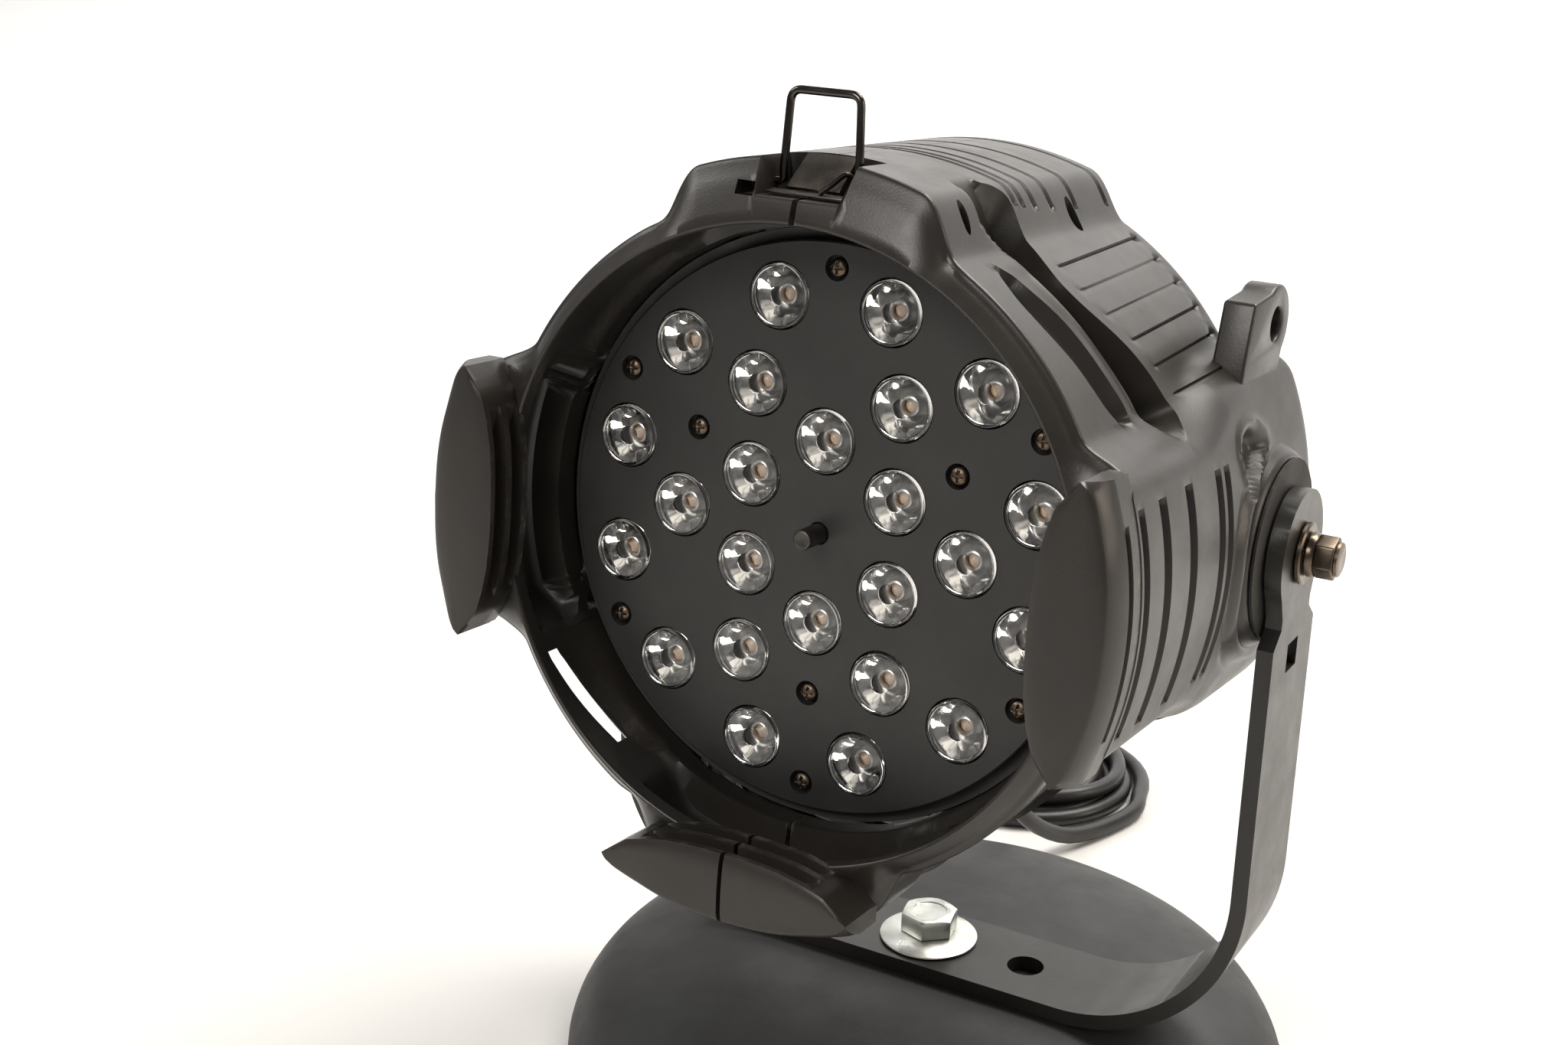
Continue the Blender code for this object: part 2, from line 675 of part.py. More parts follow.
def build_fan_and_supplies(mats):
    _, centre_z = 0.0, 35.0
    bm = bmesh.new()
    add_box(bm, (-36.0, 84.0, centre_z - 36.0), (36.0, 103.0, centre_z + 36.0))
    frame = place("fan_frame", finish_mesh(bm), mats["fan_black"], parent=HEAD)
    bore = cylinder_mesh((0, 97.0, centre_z), 33.5, 20.0, "Y", 32)
    boolean(frame, as_cutter("fan_bore", bore, HEAD), "DIFFERENCE")
    cut = bmesh.new()
    for k in range(3):
        start = 120.0 * k + 8.0
        outline = arc((0, centre_z), 14.0, start, start + 104.0, 5)
        outline += arc((0, centre_z), 32.0, start + 108.0, start - 4.0, 6)
        piece = prism(outline, 80.0, 90.0, "Y")
        bmesh.ops.recalc_face_normals(piece, faces=piece.faces)
        mesh = bpy.data.meshes.new("spoke")
        piece.to_mesh(mesh)
        piece.free()
        cut.from_mesh(mesh)
    boolean(frame, as_cutter("fan_openings", finish_mesh(cut), HEAD), "DIFFERENCE")

    at = (0, 95.0, centre_z)
    hub = bmesh.new()
    add_cylinder(hub, (0, 0, 0), 12.5, 13.0, "Y", 20)
    rotor = place("fan_rotor", finish_mesh(hub), mats["fan_black"], at, HEAD)
    blades = bmesh.new()
    for k in range(7):
        turn = Matrix.Rotation(2 * math.pi * k / 7, 4, "Y") @ Matrix.Translation((0, 0, 21.5))
        pitch = Matrix.Rotation(math.radians(35), 4, "Z")
        size = Matrix.Diagonal((14.0, 1.6, 21.0, 1.0))
        bmesh.ops.create_cube(blades, size=1.0, matrix=turn @ pitch @ size)
    tool = as_cutter("fan_blades", finish_mesh(blades), HEAD)
    tool.location = Vector(at) * MM
    boolean(rotor, tool, "UNION")

    supply = box_mesh((-44.0, 60.0, -88.0), (44.0, 98.0, -46.0), 1.5)
    place("power_supply", supply, mats["supply_steel"], parent=HEAD)


# ---------------------------------------------------------------- accessory catch


def build_catch(mats):
    """The sprung wire bail that closes the open top of the accessory slots."""
    plate = [(-13.5, 106.4), (13.5, 106.4), (13.5, 107.6), (8.0, 118.0), (-8.0, 118.0), (-13.5, 107.6)]
    bracket = place("catch_bracket", finish_mesh(prism(plate, -7.4, -6.2, "Y")), mats["catch_steel"], parent=HEAD)
    sole = box_mesh((-13.5, -24.0, 106.4), (13.5, -6.2, 107.4))
    boolean(bracket, as_cutter("catch_sole", sole, HEAD), "UNION")
    at = (0.0, -14.0, 109.2)
    wire = [(-15.2, 0, 0), (-13.2, 0, 0), (-12.3, 0, 0.9), (-12.1, 0, 3.0), (-12.3, 0, 22.8), (-11.8, 0, 25.8)]
    wire += [(-10.4, 0, 27.2), (-8.4, 0, 27.6)]
    wire += [(-x, y, z) for x, y, z in reversed(wire)]
    moved = [Vector(p) for p in wire]
    bail = tube("catch_bail", moved, 2.6, mats["catch_wire"], 2, HEAD)
    bail.location = Vector(at) * MM


# ---------------------------------------------------------------- tilt bolts


def build_tilt_hardware(mats):
    _, y, z = PIVOT_IN_HEAD
    for side, word in ((1, "right"), (-1, "left")):
        turn = (0, 90 * side, 0)
        disc = ((4.4, 119.4), (30.0, 119.4), (30.0, 118.5), (4.4, 118.5))
        turned(f"friction_disc_{word}", disc, mats["fibre"], 28, (0, y, z), turn, HEAD)
        washer = ((4.5, 128.2), (9.9, 128.2), (10.3, 127.8), (10.3, 126.3), (4.5, 126.3))
        turned(f"tilt_washer_{word}", washer, mats["dark_nickel"], 24, (0, y, z), turn, HEAD)
        bm = bmesh.new()
        add_cylinder(bm, (side * 134.3, y, z), 7.3, 6.6, "X", 6, turn=20)
        bolt = place(f"tilt_bolt_{word}", finish_mesh(bm), mats["dark_nickel"], parent=HEAD)
        rest = bmesh.new()
        add_cylinder(rest, (side * 129.9, y, z), 7.4, 2.8, "X", 20)
        add_cylinder(rest, (side * 138.0, y, z), 6.0, 1.6, "X", 12)
        boolean(bolt, as_cutter(f"bolt_collar_{word}", finish_mesh(rest), HEAD), "UNION")
        shank = bmesh.new()
        add_cylinder(shank, (side * 116.0, y, z), 3.3, 29.0, "X", 12)
        boolean(bolt, as_cutter(f"bolt_shank_{word}", finish_mesh(shank), HEAD), "UNION")


# ---------------------------------------------------------------- mains lead


def head_to_row(point):
    """A point of the head's frame, in millimetres, as it stands at rest in the row's frame."""
    turn = Matrix.Rotation(math.radians(TILT_AT_REST), 3, "X")
    return turn @ (Vector(point) - Vector(PIVOT_IN_HEAD)) + Vector((0, 0, PIVOT_Z))


def build_lead(mats):
    r = LEAD_DIAMETER / 2
    start = head_to_row((-54.0, 138.3 + 0.0, -40.0))
    along = Matrix.Rotation(math.radians(TILT_AT_REST), 3, "X") @ Vector((0, 1, 0))
    cx, cy = COIL_CENTRE
    join = Vector((cx + COIL_MEAN_RADIUS + COIL_HALF_WIDTH + GAP + r, cy + 8.0, r + 0.6))
    route = [
        start,
        start + along * 10,
        start + along * 21,
        start + along * 46 + Vector((1, 0, -12)),
        start + Vector((4, 74, -62)),
        start + Vector((12, 84, -112)),
        Vector((-30, 150, 30)),
        Vector((-20, 176, 9)),
        Vector((-10, 200, r + 0.6)),
        join + Vector((4, -18, 0)),
        join,
    ]
    tube("mains_lead", spline(route, 5), LEAD_DIAMETER, mats["lead_black"], 2)

    ring = []
    centre = (COIL_MEAN_RADIUS, COIL_HEIGHT / 2 + 0.3)
    for k in range(12):
        a = math.radians(90.0 - 30.0 * k)
        ring.append((centre[0] + COIL_HALF_WIDTH * math.cos(a), centre[1] + COIL_HEIGHT / 2 * math.sin(a)))
    turned("cord_coil", ring, mats["lead_black"], 24, (cx, cy, 0))

    plug = [(-9, 0.4), (9, 0.4), (10, 4), (10, 18), (6, 22), (-6, 22), (-10, 18), (-10, 4)]
    body = prism([(x, z) for x, z in plug], 0.0, 34.0, "Y")
    at = (cx - 20.1, cy + COIL_MEAN_RADIUS + 18.0, 0.0)
    turn = math.radians(65.0)
    obj = place("mains_plug", finish_mesh(body), mats["plug_black"], at)
    obj.rotation_euler.z = turn
    prongs = bmesh.new()
    for x in (-5.5, 5.5):
        add_box(prongs, (x - 0.8, 33.0, 11.0), (x + 0.8, 52.0, 17.0))
    add_cylinder(prongs, (0, 43.5, 7.0), 2.3, 21.0, "Y", 12)
    tool = as_cutter("plug_prongs", finish_mesh(prongs))
    tool.location = Vector(at) * MM
    tool.rotation_euler.z = turn
    boolean(obj, tool, "UNION")


# ---------------------------------------------------------------- assembly


def make_materials():
    black = (0.018, 0.017, 0.016)
    return {
        "base_black": material("base_black", (0.02, 0.02, 0.02), 0.55),
        "cast_weight": material("cast_weight", (0.08, 0.08, 0.08), 0.7, 0.6),
        "rubber": material("rubber", (0.02, 0.02, 0.02), 0.85),
        "zinc": material("zinc", (0.72, 0.72, 0.70), 0.3, 1.0),
        "yoke_black": material("yoke_black", black, 0.45),
        "housing_black": material("housing_black", (0.035, 0.032, 0.029), 0.42),
        "cover_black": material("cover_black", black, 0.5),
        "plate_black": material("plate_black", (0.012, 0.012, 0.012), 0.5),
        "clear_lens": material("clear_lens", (0.95, 0.95, 0.95), 0.03, 0.0, 1.0),
        "post_metal": material("post_metal", (0.25, 0.24, 0.22), 0.4, 0.8),
        "circuit_board": material("circuit_board", (0.8, 0.8, 0.76), 0.5),
        "raw_aluminium": material("raw_aluminium", (0.6, 0.6, 0.6), 0.35, 1.0),
        "display_dark": material("display_dark", (0.02, 0.005, 0.005), 0.1),
        "button_grey": material("button_grey", (0.12, 0.12, 0.12), 0.5),
        "socket_dark": material("socket_dark", (0.03, 0.03, 0.03), 0.35, 0.3),
        "gland_black": material("gland_black", black, 0.55),
        "fan_black": material("fan_black", black, 0.5),
        "supply_steel": material("supply_steel", (0.5, 0.5, 0.5), 0.4, 0.9),
        "catch_steel": material("catch_steel", (0.1, 0.09, 0.08), 0.35, 0.9),
        "catch_wire": material("catch_wire", (0.06, 0.055, 0.05), 0.18, 0.9),
        "fibre": material("fibre", (0.03, 0.03, 0.03), 0.8),
        "dark_nickel": material("dark_nickel", (0.2, 0.17, 0.13), 0.35, 0.9),
        "lead_black": material("lead_black", (0.015, 0.015, 0.015), 0.4),
        "plug_black": material("plug_black", (0.015, 0.015, 0.015), 0.45),
    }


def make_head_frame():
    """An empty on the tilt axis, and under it the head's own frame."""
    pivot = bpy.data.objects.new("tilt_axis", None)
    pivot.location = (0.0, 0.0, PIVOT_Z * MM)
    pivot.rotation_euler = (math.radians(TILT_AT_REST), 0.0, 0.0)
    PARTS.objects.link(pivot)
    head = bpy.data.objects.new("head_frame", None)
    head.location = -Vector(PIVOT_IN_HEAD) * MM
    head.parent = pivot
    PARTS.objects.link(head)
    return head


clear_scene()
PARTS = make_collection("led_wash_luminaire")
CUTTERS = make_collection("cutters")
HEAD = make_head_frame()
MATERIALS = make_materials()
build_base(MATERIALS)
build_yoke(MATERIALS)
build_castings(MATERIALS)
build_optics(MATERIALS)
build_rear(MATERIALS)
build_fan_and_supplies(MATERIALS)
build_catch(MATERIALS)
build_tilt_hardware(MATERIALS)
build_lead(MATERIALS)
bpy.context.view_layer.update()
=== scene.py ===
"""Visual model of an LED wash luminaire on a flat-bar yoke and a round domed floor base.

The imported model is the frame. Pieces of the head are drawn in the head's own frame, in millimetres:
its origin is the centre of the lens plate's front face, the lenses look along -Y and +X is the side
of the safety lug. Everything else is drawn in the row's frame, in millimetres too, and both are
brought to metres in the row's frame when a piece is made.
"""

import json
import math

import bmesh
import bpy
import numpy as np
from mathutils import Matrix, Vector


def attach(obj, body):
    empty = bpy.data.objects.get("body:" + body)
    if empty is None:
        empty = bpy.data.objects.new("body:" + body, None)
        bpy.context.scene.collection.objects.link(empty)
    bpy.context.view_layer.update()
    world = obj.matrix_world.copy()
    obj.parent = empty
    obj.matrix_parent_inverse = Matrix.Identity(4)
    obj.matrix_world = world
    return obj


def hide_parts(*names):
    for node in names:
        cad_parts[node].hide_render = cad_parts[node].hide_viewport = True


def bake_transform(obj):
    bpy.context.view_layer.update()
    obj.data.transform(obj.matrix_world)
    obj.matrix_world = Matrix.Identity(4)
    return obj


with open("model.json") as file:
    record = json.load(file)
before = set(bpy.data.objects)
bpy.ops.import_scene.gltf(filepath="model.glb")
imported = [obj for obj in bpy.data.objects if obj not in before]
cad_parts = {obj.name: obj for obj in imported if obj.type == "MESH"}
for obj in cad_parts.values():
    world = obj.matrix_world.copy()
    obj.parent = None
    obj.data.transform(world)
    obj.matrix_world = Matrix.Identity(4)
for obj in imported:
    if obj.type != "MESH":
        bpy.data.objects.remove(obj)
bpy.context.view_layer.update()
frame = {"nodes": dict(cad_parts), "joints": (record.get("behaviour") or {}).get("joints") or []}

MM = 0.001

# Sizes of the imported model, in millimetres
BASE_HEIGHT = 42.0
YOKE_THICKNESS = 5.6
YOKE_WIDTH = 42.0
YOKE_OUTER_X = 126.0
YOKE_BEND = 60.0
PIVOT_IN_HEAD = (0.0, 96.5, -2.0)
TILT_AT_REST = math.radians(-4.5)
CROWN_RADIUS = 118.0
SEAM = 0.15
LENS_RINGS = ((75.0, 12, 15.0), (50.8, 6, 30.0), (29.5, 6, 0.0))
SCREW_RINGS = ((83.5, 6, 0.0), (53.0, 3, 60.0))
LEAD_DIAMETER = 7.5
COIL_CENTRE = (-66.0, 236.0)

TILT_JOINT = next(j for j in frame["joints"] if j["name"] == "head_tilt")
PIVOT_Z = TILT_JOINT["pos_m"][2] / MM
TO_METRES = Matrix.Scale(MM, 4)
HEAD = (
    TO_METRES
    @ Matrix.Translation((0.0, 0.0, PIVOT_Z))
    @ Matrix.Rotation(TILT_AT_REST, 4, "X")
    @ Matrix.Translation(-Vector(PIVOT_IN_HEAD))
)
ROW = TO_METRES


# ---------------------------------------------------------------- small tools


def smooth(t):
    t = np.clip(t, 0.0, 1.0)
    return t * t * (3.0 - 2.0 * t)


def catmull(points, per_span):
    """A smooth line through the points."""
    ends = [2 * points[0] - points[1], *points, 2 * points[-1] - points[-2]]
    line = []
    for a, b, c, d in zip(ends, ends[1:], ends[2:], ends[3:]):
        for k in range(per_span):
            t = k / per_span
            bend = (2 * a - 5 * b + 4 * c - d) * t**2
            twist = (3 * b - a - 3 * c + d) * t**3
            line.append(0.5 * (2 * b + (c - a) * t + bend + twist))
    line.append(points[-1])
    return line


def curve_through(*points):
    """y as a smooth function of x, through (x, y) points in order of x."""
    line = np.array(catmull([np.array(p, float) for p in points], 8))
    return lambda x: np.interp(x, line[:, 0], line[:, 1])


def arc(centre, radius, start, end, steps):
    angles = [math.radians(start + (end - start) * k / steps) for k in range(steps + 1)]
    return [(centre[0] + radius * math.cos(a), centre[1] + radius * math.sin(a)) for a in angles]


def piece_from(bm, name, matrix, angle=30.0):
    """A new mesh object from a bmesh drawn in millimetres, with creases above the angle sharp."""
    bmesh.ops.remove_doubles(bm, verts=bm.verts, dist=1e-4)
    bmesh.ops.recalc_face_normals(bm, faces=bm.faces)
    bm.transform(matrix)
    mesh = bpy.data.meshes.new(name)
    bm.to_mesh(mesh)
    bm.free()
    mesh.shade_smooth()
    mesh.set_sharp_from_angle(angle=math.radians(angle))
    obj = bpy.data.objects.new(name, mesh)
    bpy.context.scene.collection.objects.link(obj)
    return obj


def dress(obj, mat, body, stands_for=()):
    """Gives a piece its material, the body it moves with and the CAD nodes that it stands for."""
    obj.data.materials.clear()
    obj.data.materials.append(mat)
    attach(obj, body)
    if stands_for:
        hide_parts(*stands_for)
    return obj


def apply_modifiers(obj):
    """Replaces the object's mesh with its evaluated one."""
    bpy.context.view_layer.update()
    graph = bpy.context.evaluated_depsgraph_get()
    mesh = bpy.data.meshes.new_from_object(obj.evaluated_get(graph))
    obj.modifiers.clear()
    obj.data = mesh
    return obj


def add_bevel(obj, width, segments=2, angle=30.0, shade=40.0):
    """Rounds the edges sharper than the angle; the width is in millimetres."""
    mod = obj.modifiers.new("rounded_edges", "BEVEL")
    mod.width = width * MM
    mod.segments = segments
    mod.limit_method = "ANGLE"
    mod.angle_limit = math.radians(angle)
    apply_modifiers(obj)
    obj.data.shade_smooth()
    obj.data.set_sharp_from_angle(angle=math.radians(shade))
    return obj


def cut(obj, *tools, operation="DIFFERENCE"):
    """Boolean of each tool on the object, whose tools are used up."""
    for tool in tools:
        mod = obj.modifiers.new("cut", "BOOLEAN")
        mod.operation = operation
        mod.solver = "EXACT"
        mod.object = tool
    apply_modifiers(obj)
    for tool in tools:
        bpy.data.objects.remove(tool)
    return obj


def from_z_to(axis):
    """The rotation that takes the Z axis to the named one."""
    if axis == "X":
        return Matrix.Rotation(math.radians(90), 4, "Y")
    if axis == "Y":
        return Matrix.Rotation(math.radians(-90), 4, "X")
    return Matrix()


def cylinder(bm, centre, radius, length, axis="Y", sides=48, turn=0.0):
    matrix = Matrix.Translation(centre) @ from_z_to(axis) @ Matrix.Rotation(math.radians(turn), 4, "Z")
    bmesh.ops.create_cone(
        bm, cap_ends=True, segments=sides, radius1=radius, radius2=radius, depth=length, matrix=matrix
    )


def box(bm, low, high):
    low, high = Vector(low), Vector(high)
    size = Matrix.Diagonal((*(high - low), 1.0))
    bmesh.ops.create_cube(bm, size=1.0, matrix=Matrix.Translation((low + high) / 2) @ size)


def prism(bm, outline, low, high, axis="Y"):
    """An outline of (a, b) points drawn across the X or Y axis, from low to high along it."""
    ends = []
    for t in (low, high):
        points = [(t, a, b) if axis == "X" else (a, t, b) for a, b in outline]
        ends.append([bm.verts.new(p) for p in points])
    for k in range(len(outline)):
        n = (k + 1) % len(outline)
        bm.faces.new((ends[0][k], ends[0][n], ends[1][n], ends[1][k]))
    bm.faces.new(ends[0])
    bm.faces.new(list(reversed(ends[1])))


def lathe(bm, profile, steps, at=(0, 0, 0), axis="Z"):
    """Turns (radius, along) points about an axis; points on the axis close the shape."""
    matrix = Matrix.Translation(at) @ from_z_to(axis)
    angles = [2 * math.pi * k / steps for k in range(steps)]
    rings = []
    for r, h in profile:
        if r < 1e-6:
            rings.append([bm.verts.new(matrix @ Vector((0, 0, h)))])
            continue
        rings.append([bm.verts.new(matrix @ Vector((r * math.cos(a), r * math.sin(a), h))) for a in angles])
    for one, two in zip(rings, rings[1:]):
        for k in range(steps):
            n = (k + 1) % steps
            if len(one) == 1:
                bm.faces.new((one[0], two[k], two[n]))
            elif len(two) == 1:
                bm.faces.new((one[k], one[n], two[0]))
            else:
                bm.faces.new((one[k], one[n], two[n], two[k]))


def ring_lathe(bm, profile, steps, at=(0, 0, 0), axis="Z"):
    """Turns a closed outline that stays off the axis."""
    lathe(bm, [*profile, profile[0]], steps, at, axis)


def tube(bm, points, radius, sides=12, caps=True):
    """A round tube along points, with its cross-section carried along without twist."""
    points = [Vector(p) for p in points]
    side = None
    rings = []
    for i, p in enumerate(points):
        along = (points[min(i + 1, len(points) - 1)] - points[max(i - 1, 0)]).normalized()
        if side is None:
            side = along.orthogonal().normalized()
        side = (side - along * side.dot(along)).normalized()
        other = along.cross(side)
        angles = [2 * math.pi * k / sides for k in range(sides)]
        rings.append([bm.verts.new(p + (side * math.cos(a) + other * math.sin(a)) * radius) for a in angles])
    for one, two in zip(rings, rings[1:]):
        for k in range(sides):
            n = (k + 1) % sides
            bm.faces.new((one[k], one[n], two[n], two[k]))
    if caps:
        bm.faces.new(rings[0])
        bm.faces.new(rings[-1])


def rounded_path(corners, radius, steps=6):
    """A line through the corners, with each inner corner turned into an arc-like bend."""
    path = [Vector(corners[0])]
    for a, b, c in zip(corners, corners[1:], corners[2:]):
        a, b, c = Vector(a), Vector(b), Vector(c)
        start = b + (a - b).normalized() * radius
        end = b + (c - b).normalized() * radius
        for k in range(steps + 1):
            t = k / steps
            path.append(start * (1 - t) ** 2 + b * 2 * t * (1 - t) + end * t * t)
    path.append(Vector(corners[-1]))
    return path


# ---------------------------------------------------------------- materials


class Nodes:
    """A short way to build one material's node tree around its Principled shader."""

    def __init__(self, name, **constants):
        self.mat = bpy.data.materials.new(name)
        self.mat.use_nodes = True
        self.tree = self.mat.node_tree
        self.shader = self.tree.nodes["Principled BSDF"]
        for socket, value in constants.items():
            self.shader.inputs[socket.replace("_", " ").title().replace("Ior", "IOR")].default_value = value
        self.place = self.tree.nodes.new("ShaderNodeTexCoord").outputs["Object"]

    def noise(self, scale, detail=3.0, roughness=0.5, distortion=0.0, stretch=None):
        node = self.tree.nodes.new("ShaderNodeTexNoise")
        node.inputs["Scale"].default_value = scale
        node.inputs["Detail"].default_value = detail
        node.inputs["Roughness"].default_value = roughness
        node.inputs["Distortion"].default_value = distortion
        source = self.place
        if stretch:
            mapping = self.tree.nodes.new("ShaderNodeMapping")
            mapping.inputs["Scale"].default_value = stretch
            self.tree.links.new(self.place, mapping.inputs["Vector"])
            source = mapping.outputs["Vector"]
        self.tree.links.new(source, node.inputs["Vector"])
        return node.outputs["Fac"]

    def ramp(self, fac, *stops):
        node = self.tree.nodes.new("ShaderNodeValToRGB")
        while len(node.color_ramp.elements) < len(stops):
            node.color_ramp.elements.new(0.5)
        for element, (place, colour) in zip(node.color_ramp.elements, stops):
            element.position = place
            element.color = (*colour, 1.0) if len(colour) == 3 else colour
        self.tree.links.new(fac, node.inputs["Fac"])
        return node.outputs["Color"]

    def levels(self, fac, low, high, from_low=0.3, from_high=0.7):
        node = self.tree.nodes.new("ShaderNodeMapRange")
        node.inputs["From Min"].default_value = from_low
        node.inputs["From Max"].default_value = from_high
        node.inputs["To Min"].default_value = low
        node.inputs["To Max"].default_value = high
        self.tree.links.new(fac, node.inputs["Value"])
        return node.outputs["Result"]

    def mix(self, fac, one, two):
        node = self.tree.nodes.new("ShaderNodeMix")
        node.data_type = "RGBA"
        self.tree.links.new(fac, node.inputs[0])
        for socket, value in ((node.inputs[6], one), (node.inputs[7], two)):
            if isinstance(value, tuple):
                socket.default_value = (*value, 1.0)
            else:
                self.tree.links.new(value, socket)
        return node.outputs[2]

    def times(self, one, two):
        node = self.tree.nodes.new("ShaderNodeMath")
        node.operation = "MULTIPLY"
        for socket, value in zip(node.inputs, (one, two)):
            if isinstance(value, float):
                socket.default_value = value
            else:
                self.tree.links.new(value, socket)
        return node.outputs[0]

    def worn_edges(self, low=0.53, high=0.6, breakup=260.0):
        """1 on convex edges, broken up by noise."""
        geometry = self.tree.nodes.new("ShaderNodeNewGeometry")
        edge = self.levels(geometry.outputs["Pointiness"], 0.0, 1.0, low, high)
        patches = self.levels(self.noise(breakup, 4.0, 0.6), 0.0, 1.0, 0.48, 0.62)
        return self.times(edge, patches)

    def colour(self, socket):
        self.tree.links.new(socket, self.shader.inputs["Base Color"])

    def rough(self, socket):
        self.tree.links.new(socket, self.shader.inputs["Roughness"])

    def bump(self, height, distance, strength=1.0):
        node = self.tree.nodes.new("ShaderNodeBump")
        node.inputs["Distance"].default_value = distance
        node.inputs["Strength"].default_value = strength
        self.tree.links.new(height, node.inputs["Height"])
        self.tree.links.new(node.outputs["Normal"], self.shader.inputs["Normal"])


def coated(name, dark, light, rough, grain=1400.0, depth=0.00004, bare=None, wear=(0.54, 0.62), patches=22.0):
    """Powder coat: two close tones, orange-peel grain, uneven sheen and bare metal on rubbed edges."""
    n = Nodes(name, specular_ior_level=0.5)
    tone = n.ramp(n.noise(patches, 5.0, 0.6), (0.32, dark), (0.7, light))
    if bare:
        tone = n.mix(n.worn_edges(*wear), tone, bare)
    n.colour(tone)
    n.rough(n.levels(n.noise(55.0, 4.0, 0.65), rough[0], rough[1]))
    n.bump(n.noise(grain, 3.0, 0.55), depth)
    return n.mat


def metal(name, dark, light, rough, grain=300.0, depth=0.00002, stretch=None, patches=60.0):
    """Bare or plated metal: a mottled tone, uneven polish and fine tool marks."""
    n = Nodes(name, metallic=1.0)
    n.colour(n.ramp(n.noise(patches, 5.0, 0.6), (0.3, dark), (0.7, light)))
    n.rough(n.levels(n.noise(140.0, 4.0, 0.6), rough[0], rough[1]))
    n.bump(n.noise(grain, 4.0, 0.6, stretch=stretch), depth)
    return n.mat


def moulded(name, dark, light, rough, grain=1800.0, depth=0.00003):
    """Moulded plastic or rubber: an even tone with handling marks and a fine eroded grain."""
    n = Nodes(name)
    n.colour(n.ramp(n.noise(40.0, 4.0, 0.6), (0.35, dark), (0.72, light)))
    n.rough(n.levels(n.noise(70.0, 4.0, 0.6), rough[0], rough[1]))
    n.bump(n.noise(grain, 2.0, 0.5), depth)
    return n.mat


def clear_plastic():
    """Clear moulded acrylic with faint flow marks."""
    n = Nodes("clear_acrylic", ior=1.49, transmission_weight=1.0)
    n.colour(n.ramp(n.noise(90.0, 2.0), (0.3, (0.95, 0.96, 0.96)), (0.7, (1.0, 1.0, 1.0))))
    n.rough(n.levels(n.noise(400.0, 3.0), 0.0, 0.04))
    n.bump(n.noise(160.0, 1.0, 0.4), 0.000004)
    return n.mat


def reflector_mat():
    """The silvery look of a collimator's cone, with darker radial marks painted into its colour: partly flow
    marks, partly painted dark reflections.
    """
    n = Nodes("collimator_cone_marks_and_painted_reflections", metallic=1.0)
    tone = n.noise(170.0, 1.0, 0.4, 0.8)
    # The darker stops of this ramp stand partly for flow marks and partly for painted dark reflections.
    n.colour(n.ramp(tone, (0.36, (0.5, 0.49, 0.48)), (0.5, (0.9, 0.89, 0.87)), (0.62, (0.97, 0.96, 0.94))))
    n.rough(n.levels(n.noise(300.0, 3.0), 0.02, 0.07))
    n.bump(n.noise(190.0, 1.0, 0.4), 0.00007)
    return n.mat


def diode_mat():
    """The soft yellow-orange gel over the light-emitting chips."""
    n = Nodes("diode_gel", coat_weight=0.6, coat_roughness=0.08)
    n.colour(n.ramp(n.noise(900.0, 2.0), (0.3, (0.92, 0.60, 0.40)), (0.7, (1.0, 0.86, 0.70))))
    n.rough(n.levels(n.noise(500.0, 2.0), 0.25, 0.4))
    n.bump(n.noise(1600.0, 1.0), 0.00003)
    return n.mat


def floor_mat():
    n = Nodes("pale_paper", specular_ior_level=0.25)
    n.colour(n.ramp(n.noise(1.6, 4.0, 0.6), (0.3, (0.80, 0.785, 0.765)), (0.7, (0.86, 0.85, 0.835))))
    n.rough(n.levels(n.noise(30.0, 3.0), 0.6, 0.75))
    n.bump(n.noise(900.0, 3.0), 0.00008)
    return n.mat


